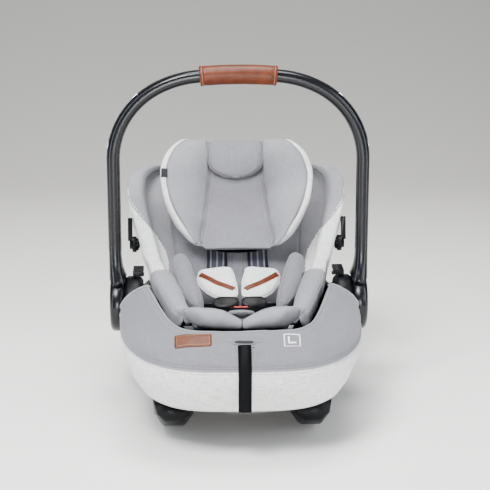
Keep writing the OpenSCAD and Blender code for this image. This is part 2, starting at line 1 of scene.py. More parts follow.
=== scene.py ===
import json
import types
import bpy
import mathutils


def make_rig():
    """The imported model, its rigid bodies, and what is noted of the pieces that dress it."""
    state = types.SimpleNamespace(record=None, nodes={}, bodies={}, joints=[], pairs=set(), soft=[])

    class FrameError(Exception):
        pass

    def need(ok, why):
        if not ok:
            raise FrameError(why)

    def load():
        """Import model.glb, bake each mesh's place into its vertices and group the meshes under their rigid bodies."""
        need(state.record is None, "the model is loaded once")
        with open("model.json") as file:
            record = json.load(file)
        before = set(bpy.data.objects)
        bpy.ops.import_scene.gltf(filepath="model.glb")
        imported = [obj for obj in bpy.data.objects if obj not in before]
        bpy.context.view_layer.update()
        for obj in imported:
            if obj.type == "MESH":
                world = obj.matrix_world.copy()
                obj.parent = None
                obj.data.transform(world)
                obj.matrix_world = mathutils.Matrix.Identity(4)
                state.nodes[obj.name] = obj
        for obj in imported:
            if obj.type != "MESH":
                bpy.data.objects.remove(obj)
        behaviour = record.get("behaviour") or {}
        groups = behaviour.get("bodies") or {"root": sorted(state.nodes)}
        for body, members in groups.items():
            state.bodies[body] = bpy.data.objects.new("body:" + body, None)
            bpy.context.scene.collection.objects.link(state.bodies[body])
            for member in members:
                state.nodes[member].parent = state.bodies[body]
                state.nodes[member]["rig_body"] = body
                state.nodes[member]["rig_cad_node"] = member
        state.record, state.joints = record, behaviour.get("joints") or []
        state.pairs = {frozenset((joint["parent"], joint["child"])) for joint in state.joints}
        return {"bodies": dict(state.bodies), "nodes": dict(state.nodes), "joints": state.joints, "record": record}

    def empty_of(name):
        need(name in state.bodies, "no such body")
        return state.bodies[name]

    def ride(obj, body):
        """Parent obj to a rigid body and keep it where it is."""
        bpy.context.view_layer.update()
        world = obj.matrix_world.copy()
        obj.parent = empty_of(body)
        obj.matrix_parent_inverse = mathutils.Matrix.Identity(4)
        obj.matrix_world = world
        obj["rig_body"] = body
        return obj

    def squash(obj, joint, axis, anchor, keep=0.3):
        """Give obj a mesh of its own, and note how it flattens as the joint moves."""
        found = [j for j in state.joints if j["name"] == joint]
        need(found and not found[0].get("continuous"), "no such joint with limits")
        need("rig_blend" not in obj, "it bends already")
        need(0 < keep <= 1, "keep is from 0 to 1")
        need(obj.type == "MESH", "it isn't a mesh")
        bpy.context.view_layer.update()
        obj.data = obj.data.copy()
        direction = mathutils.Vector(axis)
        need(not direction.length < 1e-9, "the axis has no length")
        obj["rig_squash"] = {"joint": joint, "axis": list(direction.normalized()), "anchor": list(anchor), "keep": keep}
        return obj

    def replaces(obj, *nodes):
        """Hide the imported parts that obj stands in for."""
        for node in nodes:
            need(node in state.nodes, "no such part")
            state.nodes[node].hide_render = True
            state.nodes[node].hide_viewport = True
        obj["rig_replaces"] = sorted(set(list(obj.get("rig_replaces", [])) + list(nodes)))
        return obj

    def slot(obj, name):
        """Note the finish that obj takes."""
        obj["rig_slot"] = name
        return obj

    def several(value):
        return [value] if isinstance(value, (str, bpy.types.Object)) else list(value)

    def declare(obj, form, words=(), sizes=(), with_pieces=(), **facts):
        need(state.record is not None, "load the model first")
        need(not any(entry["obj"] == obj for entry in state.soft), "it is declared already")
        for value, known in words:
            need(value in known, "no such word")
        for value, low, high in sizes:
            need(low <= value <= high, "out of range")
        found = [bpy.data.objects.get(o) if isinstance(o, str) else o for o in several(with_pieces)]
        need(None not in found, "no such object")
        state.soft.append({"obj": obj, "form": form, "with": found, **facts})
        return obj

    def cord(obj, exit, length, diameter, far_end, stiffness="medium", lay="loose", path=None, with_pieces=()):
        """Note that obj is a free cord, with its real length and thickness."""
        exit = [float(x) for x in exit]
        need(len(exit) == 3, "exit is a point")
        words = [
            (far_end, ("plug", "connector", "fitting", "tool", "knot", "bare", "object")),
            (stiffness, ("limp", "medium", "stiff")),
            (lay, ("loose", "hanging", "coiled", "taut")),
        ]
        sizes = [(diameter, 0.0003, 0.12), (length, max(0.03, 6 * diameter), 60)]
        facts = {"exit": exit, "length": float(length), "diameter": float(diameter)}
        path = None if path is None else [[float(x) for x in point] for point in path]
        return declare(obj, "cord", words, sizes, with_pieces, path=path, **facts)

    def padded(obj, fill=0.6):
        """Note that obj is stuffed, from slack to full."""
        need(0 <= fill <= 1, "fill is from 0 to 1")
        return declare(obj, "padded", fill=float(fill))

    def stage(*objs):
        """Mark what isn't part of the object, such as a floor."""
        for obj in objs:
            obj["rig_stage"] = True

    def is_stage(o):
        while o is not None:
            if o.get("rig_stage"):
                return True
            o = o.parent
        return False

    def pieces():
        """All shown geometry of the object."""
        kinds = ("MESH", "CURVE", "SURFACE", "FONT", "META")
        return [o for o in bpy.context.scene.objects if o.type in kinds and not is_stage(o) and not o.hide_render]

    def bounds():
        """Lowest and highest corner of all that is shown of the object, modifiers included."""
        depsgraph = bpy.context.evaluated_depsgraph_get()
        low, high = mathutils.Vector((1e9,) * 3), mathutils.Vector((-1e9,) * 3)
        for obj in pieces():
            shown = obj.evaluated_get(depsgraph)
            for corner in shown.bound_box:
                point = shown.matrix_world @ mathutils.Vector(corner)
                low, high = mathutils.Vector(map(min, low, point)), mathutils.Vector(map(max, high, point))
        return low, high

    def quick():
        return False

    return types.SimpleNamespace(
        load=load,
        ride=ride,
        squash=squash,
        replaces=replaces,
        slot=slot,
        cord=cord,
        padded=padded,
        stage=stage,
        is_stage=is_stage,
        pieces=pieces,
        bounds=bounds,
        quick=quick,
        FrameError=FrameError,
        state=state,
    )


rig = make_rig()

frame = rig.load()

import json
import math

import bmesh
import bpy
import numpy as np
from mathutils import Vector
from mathutils.bvhtree import BVHTree

BOX0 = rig.bounds()
MM = 0.001
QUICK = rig.quick()


def rad(a):
    return a * math.pi / 180


# ---------------------------------------------------------------- materials
def material(name, colour, rough, **opt):
    m = bpy.data.materials.new(name)
    m.use_nodes = True
    nt = m.node_tree
    bs = nt.nodes["Principled BSDF"]
    bs.inputs["Base Color"].default_value = (*colour, 1)
    bs.inputs["Roughness"].default_value = rough
    for k, v in opt.items():
        bs.inputs[k.replace("_", " ")].default_value = v
    return m, nt, bs


def ramp(nt, a, b, ca, cb):
    r = nt.nodes.new("ShaderNodeValToRGB")
    r.color_ramp.elements[0].position = a
    r.color_ramp.elements[1].position = b
    r.color_ramp.elements[0].color = (*ca, 1)
    r.color_ramp.elements[1].color = (*cb, 1)
    return r


def fabric(name, colour, deep, pitch=1.5, slub=0.5, fuzz=0.35, bump=0.35):
    """Woven cloth: warp and weft ribs from the UV map (in metres), slubs, soft sheen."""
    m, nt, bs = material(name, colour, 0.86)
    N, L = nt.nodes.new, nt.links.new
    bs.inputs["Sheen Weight"].default_value = fuzz
    bs.inputs["Sheen Roughness"].default_value = 0.45
    bs.inputs["Specular IOR Level"].default_value = 0.25
    uv = N("ShaderNodeTexCoord")
    waves = []
    for axis in ("X", "Y"):
        w = N("ShaderNodeTexWave")
        w.wave_type = "BANDS"
        w.bands_direction = axis
        w.inputs["Scale"].default_value = 0.314 / (pitch * MM)
        w.inputs["Distortion"].default_value = 0.6
        w.inputs["Detail"].default_value = 0
        L(uv.outputs["UV"], w.inputs["Vector"])
        waves.append(w)
    mul = N("ShaderNodeMath")
    mul.operation = "MULTIPLY"
    L(waves[0].outputs["Fac"], mul.inputs[0])
    L(waves[1].outputs["Fac"], mul.inputs[1])
    facs = []
    for sx, sy in ((60, 900), (900, 60)):
        mp = N("ShaderNodeMapping")
        mp.inputs["Scale"].default_value = (sx, sy, 1)
        L(uv.outputs["UV"], mp.inputs["Vector"])
        nz = N("ShaderNodeTexNoise")
        nz.inputs["Scale"].default_value = 1
        nz.inputs["Detail"].default_value = 3
        L(mp.outputs["Vector"], nz.inputs["Vector"])
        facs.append(nz)
    add = N("ShaderNodeMath")
    add.operation = "ADD"
    L(facs[0].outputs["Fac"], add.inputs[0])
    L(facs[1].outputs["Fac"], add.inputs[1])
    half = N("ShaderNodeMath")
    half.operation = "MULTIPLY"
    half.inputs[1].default_value = 0.5
    L(add.outputs[0], half.inputs[0])
    r = ramp(nt, 0.5 - 0.22 * slub, 0.5 + 0.14 * slub, deep, colour)
    L(half.outputs[0], r.inputs["Fac"])
    big = N("ShaderNodeTexNoise")
    big.inputs["Scale"].default_value = 14
    big.inputs["Detail"].default_value = 2
    L(uv.outputs["Object"], big.inputs["Vector"])
    wear = ramp(nt, 0.3, 0.7, (0.94, 0.94, 0.945), (1, 1, 1))
    L(big.outputs["Fac"], wear.inputs["Fac"])
    mx = N("ShaderNodeMix")
    mx.data_type = "RGBA"
    mx.blend_type = "MULTIPLY"
    mx.inputs["Factor"].default_value = 1
    L(r.outputs["Color"], mx.inputs["A"])
    L(wear.outputs["Color"], mx.inputs["B"])
    L(mx.outputs["Result"], bs.inputs["Base Color"])
    h = N("ShaderNodeMath")
    h.operation = "MULTIPLY_ADD"
    h.inputs[1].default_value = 1.0
    L(mul.outputs[0], h.inputs[0])
    L(half.outputs[0], h.inputs[2])
    b = N("ShaderNodeBump")
    b.inputs["Strength"].default_value = bump
    b.inputs["Distance"].default_value = 0.0004
    L(h.outputs[0], b.inputs["Height"])
    L(b.outputs["Normal"], bs.inputs["Normal"])
    return m


def plastic(name, colour, rough, grain=2600, bump=0.12, spec=0.5, coat=0.0):
    m, nt, bs = material(name, colour, rough)
    N, L = nt.nodes.new, nt.links.new
    bs.inputs["Specular IOR Level"].default_value = spec
    bs.inputs["Coat Weight"].default_value = coat
    bs.inputs["Coat Roughness"].default_value = 0.12
    tc = N("ShaderNodeTexCoord")
    nz = N("ShaderNodeTexNoise")
    nz.inputs["Scale"].default_value = grain
    nz.inputs["Detail"].default_value = 2
    L(tc.outputs["Object"], nz.inputs["Vector"])
    b = N("ShaderNodeBump")
    b.inputs["Strength"].default_value = bump
    b.inputs["Distance"].default_value = 0.0002
    L(nz.outputs["Fac"], b.inputs["Height"])
    L(b.outputs["Normal"], bs.inputs["Normal"])
    w = N("ShaderNodeTexNoise")
    w.inputs["Scale"].default_value = 9
    w.inputs["Detail"].default_value = 4
    L(tc.outputs["Object"], w.inputs["Vector"])
    r = ramp(nt, 0.35, 0.75, (rough * 0.86,) * 3, (min(1, rough * 1.2),) * 3)
    L(w.outputs["Fac"], r.inputs["Fac"])
    L(r.outputs["Color"], bs.inputs["Roughness"])
    return m


def leather_mat(name, colour, deep):
    m, nt, bs = material(name, colour, 0.42)
    N, L = nt.nodes.new, nt.links.new
    bs.inputs["Specular IOR Level"].default_value = 0.26
    tc = N("ShaderNodeTexCoord")
    v = N("ShaderNodeTexVoronoi")
    v.inputs["Scale"].default_value = 700
    L(tc.outputs["Object"], v.inputs["Vector"])
    n = N("ShaderNodeTexNoise")
    n.inputs["Scale"].default_value = 60
    n.inputs["Detail"].default_value = 6
    L(tc.outputs["Object"], n.inputs["Vector"])
    r = ramp(nt, 0.3, 0.7, deep, colour)
    L(n.outputs["Fac"], r.inputs["Fac"])
    L(r.outputs["Color"], bs.inputs["Base Color"])
    b = N("ShaderNodeBump")
    b.inputs["Strength"].default_value = 0.3
    b.inputs["Distance"].default_value = 0.0003
    L(v.outputs["Distance"], b.inputs["Height"])
    L(b.outputs["Normal"], bs.inputs["Normal"])
    return m


def webbing_mat(name, colour, light):
    m, nt, bs = material(name, colour, 0.62)
    N, L = nt.nodes.new, nt.links.new
    bs.inputs["Specular IOR Level"].default_value = 0.07
    tc = N("ShaderNodeTexCoord")
    w1 = N("ShaderNodeTexWave")
    w1.wave_type = "BANDS"
    w1.bands_direction = "DIAGONAL"
    w1.inputs["Scale"].default_value = 0.314 / 0.0022
    w1.inputs["Distortion"].default_value = 0.3
    L(tc.outputs["UV"], w1.inputs["Vector"])
    r = ramp(nt, 0.2, 0.9, colour, light)
    L(w1.outputs["Fac"], r.inputs["Fac"])
    L(r.outputs["Color"], bs.inputs["Base Color"])
    b = N("ShaderNodeBump")
    b.inputs["Strength"].default_value = 0.5
    b.inputs["Distance"].default_value = 0.0005
    L(w1.outputs["Fac"], b.inputs["Height"])
    L(b.outputs["Normal"], bs.inputs["Normal"])
    return m


M = {
    "grey": fabric("grey_fabric_vis", (0.175, 0.174, 0.19), (0.132, 0.132, 0.146), 1.3, 0.7, 0.12),
    "light": fabric("light_fabric_vis", (0.25, 0.25, 0.27), (0.195, 0.195, 0.212), 1.3, 0.7, 0.12),
    "white": fabric("melange_fabric_vis", (0.86, 0.865, 0.855), (0.36, 0.36, 0.355), 1.7, 0.95, 0.1, 0.7),
    "leather": leather_mat("leather_vis", (0.112, 0.0225, 0.0048), (0.056, 0.011, 0.0026)),
    "shell": plastic("shell_plastic_vis", (0.0022, 0.0025, 0.0034), 0.42, 2200, 0.2, 0.14),
    "handle": plastic("handle_plastic_vis", (0.0025, 0.003, 0.0045), 0.26, 3000, 0.05, 0.32, 0.05),
    "gloss": plastic("gloss_black_vis", (0.0015, 0.0015, 0.002), 0.4, 3000, 0.05, 0.14, 0.0),
    "red": plastic("red_plastic_vis", (0.72, 0.035, 0.03), 0.3, 2500, 0.05),
    "steel": plastic("steel_vis", (0.55, 0.56, 0.58), 0.3, 1800, 0.1),
    "chrome": plastic("chrome_vis", (0.9, 0.91, 0.93), 0.36, 900, 0.02),
    "rubber": plastic("rubber_vis", (0.025, 0.025, 0.027), 0.75, 900, 0.4, 0.3),
    "foam": plastic("foam_vis", (0.72, 0.75, 0.78), 0.8, 240, 0.6, 0.3),
    "webk": webbing_mat("webbing_black_vis", (0.0008, 0.0009, 0.0012), (0.0035, 0.0036, 0.0045)),
    "webg": webbing_mat("webbing_grey_vis", (0.03, 0.03, 0.042), (0.065, 0.065, 0.085)),
    "stripe": webbing_mat("webbing_stripe_vis", (0.13, 0.13, 0.16), (0.22, 0.22, 0.25)),
    "thread": fabric("thread_vis", (0.30, 0.30, 0.32), (0.25, 0.25, 0.27), 0.6, 0.4),
    "tanthread": fabric("thread_tan_vis", (0.48, 0.24, 0.13), (0.38, 0.18, 0.1), 0.6, 0.4),
    # dark cloth for the sewn-in tag, also used as painted shade inside the strap slot
    "dark": fabric("dark_cloth_and_painted_shade_vis", (0.02, 0.021, 0.024), (0.012, 0.012, 0.014), 1.2, 0.6, 0.1),
    "print": fabric("print_vis", (0.9, 0.9, 0.9), (0.84, 0.84, 0.84), 1.2, 0.3),
}
for k in ("steel", "chrome"):
    M[k].node_tree.nodes["Principled BSDF"].inputs["Metallic"].default_value = 1.0

SLOT = {"grey": "grey_fabric", "light": "light_fabric", "white": "melange_fabric", "leather": "leather", "shell": "shell_plastic", "handle": "handle_plastic",
        "gloss": "gloss_black", "red": "red_plastic", "steel": "steel", "chrome": "chrome_trim", "rubber": "rubber", "foam": "foam", "webk": "webbing_black",
        "webg": "webbing_grey", "stripe": "webbing_grey", "thread": "grey_fabric", "tanthread": "leather", "dark": "webbing_black", "print": "melange_fabric"}


# ------------------------------------------------------------------ geometry
def vn(P, s, seed=0.0):
    Q = P / s + seed * 17.31
    I = np.floor(Q).astype(np.int64)
    F = Q - I
    F = F * F * (3 - 2 * F)
    r = 0
    for dx in (0, 1):
        for dy in (0, 1):
            for dz in (0, 1):
                h = ((I[..., 0] + dx) * 73856093) ^ ((I[..., 1] + dy) * 19349663) ^ ((I[..., 2] + dz) * 83492791)
                h = ((h ^ (h >> 13)) * 1274126177) & 0xFFFF
                w = (F[..., 0] if dx else 1 - F[..., 0]) * (F[..., 1] if dy else 1 - F[..., 1]) * (F[..., 2] if dz else 1 - F[..., 2])
                r = r + w * (h / 32767.5 - 1)
    return r


def dense(P, k, axis=0, closed=False):
    P = np.moveaxis(np.asarray(P, float), axis, 0)
    n = len(P)
    out = []
    for i in range(n if closed else n - 1):
        p1, p2 = P[i], P[(i + 1) % n]
        p0 = P[(i - 1) % n] if closed else (P[i - 1] if i else 2 * p1 - p2)
        p3 = P[(i + 2) % n] if closed else (P[i + 2] if i + 2 < n else 2 * p2 - p1)
        for j in range(k):
            t = j / k
            out.append(0.5 * (2 * p1 + (p2 - p0) * t + (2 * p0 - 5 * p1 + 4 * p2 - p3) * t * t + (3 * p1 - p0 - 3 * p2 + p3) * t ** 3))
    if not closed:
        out.append(P[-1])
    return np.moveaxis(np.array(out), 0, axis)


def arc_len(P, axis, closed=False):
    d = np.linalg.norm(np.diff(P, axis=axis), axis=-1)
    z = np.zeros_like(np.take(d, [0], axis=axis))
    return np.concatenate([z, np.cumsum(d, axis=axis)], axis=axis)


def normals(P, closed=True):
    a = (np.roll(P, -1, 1) - np.roll(P, 1, 1)) if closed else np.gradient(P, axis=1)
    b = np.gradient(P, axis=0)
    n = np.cross(a, b)
    n /= np.linalg.norm(n, axis=-1, keepdims=True) + 1e-9
    return n


def outward(P, closed=True):
    """Normals of a tube-like grid, pointing away from the middle of each ring."""
    n = normals(P, closed)
    c = P.mean(axis=1, keepdims=True)
    if np.sum(n * (P - c)) < 0:
        n = -n
    return n


def sup(a, b, p, t):
    c, s = math.cos(rad(t)), math.sin(rad(t))
    return a * math.copysign(abs(c) ** (2 / p), c), b * math.copysign(abs(s) ** (2 / p), s)


def unit(v):
    v = np.asarray(v, float)
    return v / np.linalg.norm(v)


def ring(c, e, f, a, b, p=2, n=32):
    """Evenly angled ring, so that square sections keep points in their corners."""
    out = []
    for i in range(n):
        t = 2 * math.pi * i / n
        ct, st = math.cos(t), math.sin(t)
        r = (abs(ct / a) ** p + abs(st / b) ** p) ** (-1 / p)
        out.append(np.asarray(c, float) + np.asarray(e) * r * ct + np.asarray(f) * r * st)
    return out


BODY = {}


def place(o, body, key, replaces=(), padded=None):
    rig.slot(o, SLOT[key])
    if body:
        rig.ride(o, body)
    if replaces:
        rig.replaces(o, *replaces)
    if padded is not None:
        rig.padded(o, padded)
    return o


def make(name, verts, faces, key, uvs=None, mats=None, midx=None, smooth=True):
    me = bpy.data.meshes.new(name)
    me.from_pydata([tuple(float(c) * MM for c in v) for v in verts], [], faces)
    for k in mats or [key]:
        me.materials.append(M[k])
    if midx is not None:
        me.polygons.foreach_set("material_index", midx)
    if uvs is not None:
        lay = me.uv_layers.new(name="uv")
        flat = np.array([c for f in uvs for uv in f for c in uv], dtype=np.float32)
        lay.data.foreach_set("uv", flat)
    me.update()
    bm = bmesh.new()
    bm.from_mesh(me)
    bmesh.ops.recalc_face_normals(bm, faces=bm.faces)
    bm.to_mesh(me)
    bm.free()
    if smooth:
        me.polygons.foreach_set("use_smooth", [True] * len(me.polygons))
    me.update()
    o = bpy.data.objects.new(name, me)
    bpy.context.scene.collection.objects.link(o)
    return o


def grid(name, P, key, closed=True, caps=True, mats=None, pick=None):
    """Skin over an (m, n, 3) array of points in mm; UVs are in metres."""
    m, n = P.shape[:2]
    U = arc_len(np.concatenate([P, P[:, :1]], 1) if closed else P, 1).mean(axis=0) * MM
    V = arc_len(P, 0).mean(axis=1) * MM
    verts = P.reshape(-1, 3)
    faces, uvs, midx = [], [], []
    for i in range(m - 1):
        for j in range(n if closed else n - 1):
            k = (j + 1) % n
            faces.append((i * n + j, i * n + k, (i + 1) * n + k, (i + 1) * n + j))
            uvs.append(((U[j], V[i]), (U[j + 1], V[i]), (U[j + 1], V[i + 1]), (U[j], V[i + 1])))
            if pick is not None:
                midx.append(int(pick[i, j]))
    if caps and closed:
        for i, order in ((0, range(n)), (m - 1, range(n - 1, -1, -1))):
            f = tuple(i * n + j for j in order)
            faces.append(f)
            q = P[i] - P[i].mean(0)
            uvs.append(tuple((q[j][0] * MM, q[j][2] * MM) for j in order))
            if pick is not None:
                midx.append(int(pick[min(i, m - 2), 0]))
    return make(name, verts, faces, key, uvs, mats, midx if pick is not None else None)


def domed(P, amount, steps=4, mid=None):
    """Round off both ends of a grid of closed rings; mid gives each end's middle line."""
    out = [r for r in P]
    for end in (0, 1):
        r = P[0] if end == 0 else P[-1]
        q = P[1] if end == 0 else P[-2]
        c = r.mean(0)
        d = unit(c - q.mean(0))
        line = np.broadcast_to(c, r.shape) if mid is None else mid(r)
        new = []
        for s in range(1, steps + 1):
            a = math.pi / 2 * s / steps
            new.append(line + (r - line) * max(math.cos(a), 0.04) + d * amount * math.sin(a))
        if end == 0:
            out = new[::-1] + out
        else:
            out = out + new
    return np.array(out)


def channel_mid(r):
    n = len(r)
    h = n // 2
    m = (r[:h] + r[::-1][:h]) / 2
    return np.concatenate([m, m[::-1]])


def tube(name, pts, r, key, body, n=8, flat=1.0, closed=False, k=3, up=None):
    P = dense(np.array(pts, float), k, 0, closed) if k > 1 else np.array(pts, float)
    T = np.roll(P, -1, 0) - np.roll(P, 1, 0) if closed else np.gradient(P, axis=0)
    T /= np.linalg.norm(T, axis=1, keepdims=True) + 1e-12
    e = np.array(up if up is not None else (0, 0, 1), float)
    rings = []
    for p, t in zip(P, T):
        e = e - t * np.dot(e, t)
        if np.linalg.norm(e) < 1e-4:
            e = np.cross(t, (1, 0, 0)) + 1e-6
        e /= np.linalg.norm(e)
        f = np.cross(t, e)
        rings.append([p + r * (math.cos(a) * e * flat + math.sin(a) * f) for a in np.arange(n) * 2 * math.pi / n])
    G = np.array(rings)
    if closed:
        G = np.concatenate([G, G[:1]], 0)
    o = grid(name, G, key, True, not closed)
    if closed:
        bm = bmesh.new()
        bm.from_mesh(o.data)
        bmesh.ops.remove_doubles(bm, verts=bm.verts, dist=2e-6)
        bm.to_mesh(o.data)
        bm.free()
    return place(o, body, key)


def stitches(name, lines, key, body, pitch=4.4, length=3.0, r=0.34, lift=0.15):
    """Thread stitches along polylines of (points, normals)."""
    verts, faces = [], []
    for pts, nor in lines:
        pts, nor = np.array(pts, float), np.array(nor, float)
        s = np.concatenate([[0], np.cumsum(np.linalg.norm(np.diff(pts, axis=0), axis=1))])
        cnt = int(s[-1] // pitch)
        for i in range(cnt):
            a = (i + 0.5) * pitch
            pa = np.array([np.interp(a - length / 2, s, pts[:, c]) for c in range(3)])
            pb = np.array([np.interp(a + length / 2, s, pts[:, c]) for c in range(3)])
            nn = unit([np.interp(a, s, nor[:, c]) for c in range(3)])
            t = unit(pb - pa)
            f = np.cross(t, nn)
            base = len(verts)
            for q, rr, dn in ((pa, 0.45, -0.3), (pa + (pb - pa) * 0.2, 1, 0.1), (pa + (pb - pa) * 0.8, 1, 0.1), (pb, 0.45, -0.3)):
                for g in range(6):
                    w = g * math.pi / 3
                    verts.append(q + nn * (lift + dn * r + rr * r * math.cos(w)) + f * rr * r * math.sin(w))
            for j in range(3):
                for g in range(6):
                    h = (g + 1) % 6
                    faces.append((base + j * 6 + g, base + j * 6 + h, base + j * 6 + 6 + h, base + j * 6 + 6 + g))
            faces.append(tuple(base + g for g in range(6)))
            faces.append(tuple(base + 18 + g for g in range(5, -1, -1)))
    if not verts:
        return None
    return place(make(name, verts, faces, key), body, key)


def bvh_of(objs):
    verts, faces = [], []
    for o in objs:
        b = len(verts)
        verts += [v.co[:] for v in o.data.vertices]
        faces += [tuple(b + i for i in p.vertices) for p in o.data.polygons]
    return BVHTree.FromPolygons(verts, faces)


def hit(bvh, p, d):
    loc, nor, _, _ = bvh.ray_cast(Vector([float(c) * MM for c in p]), Vector([float(c) for c in d]))
    if loc is None:
        return None, None
    nor = np.array(nor)
    if np.dot(nor, d) > 0:
        nor = -nor
    return np.array(loc) / MM, nor


def patch(name, bvh, C, d, key, body, lift=0.2, thick=1.0, **kw):
    """Slab laid on a surface: C is an (m, n, 3) array of start points cast along d."""
    m, n = C.shape[:2]
    top = np.zeros((m, n, 3))
    bot = np.zeros((m, n, 3))
    for i in range(m):
        for j in range(n):
            p, nn = hit(bvh, C[i, j], d)
            if p is None:
                raise RuntimeError(name + " misses its surface")
            edge = min(i, m - 1 - i, j, n - 1 - j)
            rr = thick * (1 if edge > 0 else 0.45)
            top[i, j] = p + nn * (lift + rr)
            bot[i, j] = p + nn * (lift - 0.6)
    V, F, UV = [], [], []
    idx = lambda s, i, j: s * m * n + i * n + j
    V = list(top.reshape(-1, 3)) + list(bot.reshape(-1, 3))
    W = arc_len(top, 1).mean(0) * MM
    H = arc_len(top, 0).mean(1) * MM
    for i in range(m - 1):
        for j in range(n - 1):
            quv = ((W[j], H[i]), (W[j + 1], H[i]), (W[j + 1], H[i + 1]), (W[j], H[i + 1]))
            F.append((idx(0, i, j), idx(0, i, j + 1), idx(0, i + 1, j + 1), idx(0, i + 1, j)))
            UV.append(quv)
            F.append((idx(1, i, j), idx(1, i + 1, j), idx(1, i + 1, j + 1), idx(1, i, j + 1)))
            UV.append(quv)
    rim_ = [(0, j) for j in range(n)] + [(i, n - 1) for i in range(1, m)] + [(m - 1, j) for j in range(n - 2, -1, -1)] + [(i, 0) for i in range(m - 2, 0, -1)]
    for a, b in zip(rim_, rim_[1:] + rim_[:1]):
        F.append((idx(0, *a), idx(1, *a), idx(1, *b), idx(0, *b)))
        UV.append(((0, 0), (0, 0.001), (0.001, 0.001), (0.001, 0)))
    o = make(name, V, F, key, UV)
    return place(o, body, key, **kw), top


def smooth_copy(node, key, body, name=None, angle=32, **kw):
    """A shown copy of a CAD node's mesh with smooth shading and a better material."""
    src = frame_nodes[node]
    me = src.data.copy()
    o = bpy.data.objects.new((name or node) + "_vis", me)
    bpy.context.scene.collection.objects.link(o)
    me.materials.clear()
    me.materials.append(M[key])
    bm = bmesh.new()
    bm.from_mesh(me)
    bmesh.ops.remove_doubles(bm, verts=bm.verts, dist=1e-6)
    bmesh.ops.dissolve_degenerate(bm, edges=bm.edges, dist=1e-6)
    bm.to_mesh(me)
    bm.free()
    me.polygons.foreach_set("material_index", [0] * len(me.polygons))
    me.polygons.foreach_set("use_smooth", [True] * len(me.polygons))
    me.set_sharp_from_angle(angle=rad(angle))
    o.matrix_world = src.matrix_world.copy()
    place(o, body, key, (node,), **kw)
    return o


frame_nodes = {n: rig.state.nodes[n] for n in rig.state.nodes}

# ------------------------------------------------------------ shared outlines
BA = 42.0
BC, BS_ = math.cos(rad(BA)), math.sin(rad(BA))


def S(x, u, w):
    return np.array([x, 40 + BC * u - BS_ * w, 247 + BS_ * u + BC * w])


HN = S(0, 0, 1) - S(0, 0, 0)
HU = S(0, 1, 0) - S(0, 0, 0)


def rim(y):
    return np.interp(y, [-320, -250, -180, -120, -80, -40, 0, 40, 80, 120, 220, 320], [190, 197, 199, 202, 206, 208, 206, 200, 185, 178, 180, 204])


def tub_pt(l, t):
    k = l[4] if len(l) > 4 else 0
    c, s = math.cos(rad(t)), math.sin(rad(t))
    b, p = (l[1], 3.4 + (8 - 3.4) * k) if s < 0 else (l[2], 2.1)
    r = ((abs(c) / l[0]) ** p + (abs(s) / b) ** p) ** (-1 / p)
    y = r * s
    return [r * c * (1 - 0.36 * k * (-y / b if s < 0 else 0)), y, 34 + (rim(y) - 34) * l[3]]


def skirt(levels, n, k=3, a0=194.2, a1=345.8):
    lv = np.array([list(l) + [0] * (5 - len(l)) for l in levels], float)
    lv = dense(lv, k, 0)
    return np.array([[tub_pt(l, a0 + (a1 - a0) * i / n) for l in lv] for i in range(n + 1)])


def displaced(P, disp, closed=True, ref=None):
    n = outward(P, closed) if ref is None else ref
    return P + n * disp[..., None]


FAZ, FEL = rad(-2), rad(15)
F_BACK = np.array([math.sin(FAZ) * math.cos(FEL), -math.cos(FAZ) * math.cos(FEL), math.sin(FEL)])
F_RIGHT = np.array([math.cos(FAZ), math.sin(FAZ), 0])
F_UP = np.cross(F_BACK, F_RIGHT)
F_T = np.array([11, 0, 266.4])


def elevation_uv(P):
    """Places on a front elevation drawing, 490 units wide, seen slightly from above."""
    q = P - F_T
    d = 2600 - q @ F_BACK
    return 245 + 1529.4 * (q @ F_RIGHT) / d, 245 - 1529.4 * (q @ F_UP) / d


def elevation_hit(bvh, u, v):
    o = F_T + F_BACK * 2600
    d = F_RIGHT * (u - 245) / 1529.4 - F_UP * (v - 245) / 1529.4 - F_BACK
    return hit(bvh, o, d / np.linalg.norm(d))


def seam_groove(dist, depth=1.1, width=1.8, swell=0.5, reach=7):
    """Depth profile across a sewn seam: a narrow valley between two soft shoulders."""
    d = np.abs(dist)
    return -depth * np.exp(-(d / width) ** 2) + swell * np.exp(-((d - reach * 0.55) / (reach * 0.5)) ** 2)


def pucker(along, dist, amp=0.35, pitch=7.0, reach=9.0):
    return amp * np.sin(along * 2 * math.pi / pitch + 1.7 * np.sin(along / 23.0)) * np.exp(-np.abs(dist) / reach)


# ---------------------------------------------------------------- the tub
shell = smooth_copy("carrier_shell", "shell", "carrier", angle=28)
for nme in ("rocker_rail_left", "rocker_rail_right"):
    smooth_copy(nme, "shell", "carrier", angle=52)
for nme, key in (("hub_mount_left", "shell"), ("hub_mount_right", "shell"), ("belt_guide_left", "shell"), ("belt_guide_right", "shell"),
                 ("adjuster_housing", "shell"), ("latch_bars", "steel"), ("foot_pads", "rubber")):
    smooth_copy(nme, key, "carrier")

UP = [[200, 319.8, 320, .765], [198.4, 314, 320, .83], [192.5, 301, 320, .893, .15], [182, 283, 320, .95, .45], [170, 267, 320, .988, .78], [162, 256, 320, .995, .95], [158, 250, 320, .965, 1]]
UPI = [[160, 252.6, 320, .9, 1], [160.6, 254.4, 320, .925, 1], [163.4, 259, 320, .94, .92], [170.4, 272.5, 320, .934, .73], [180.6, 290, 320, .9, .38], [189, 304, 320, .838, .1], [192.3, 311.8, 320, .765]]
LO = [[172, 286, 320, .25], [186, 305, 320, .4], [195.5, 316, 320, .56], [199.5, 319.8, 320, .68], [200, 320, 320, .758]]
LOI = [[192.3, 312, 320, .758], [192.3, 312.3, 320, .68], [188.8, 308.8, 320, .56], [179.8, 297.8, 320, .4], [166.8, 279.8, 320, .25]]


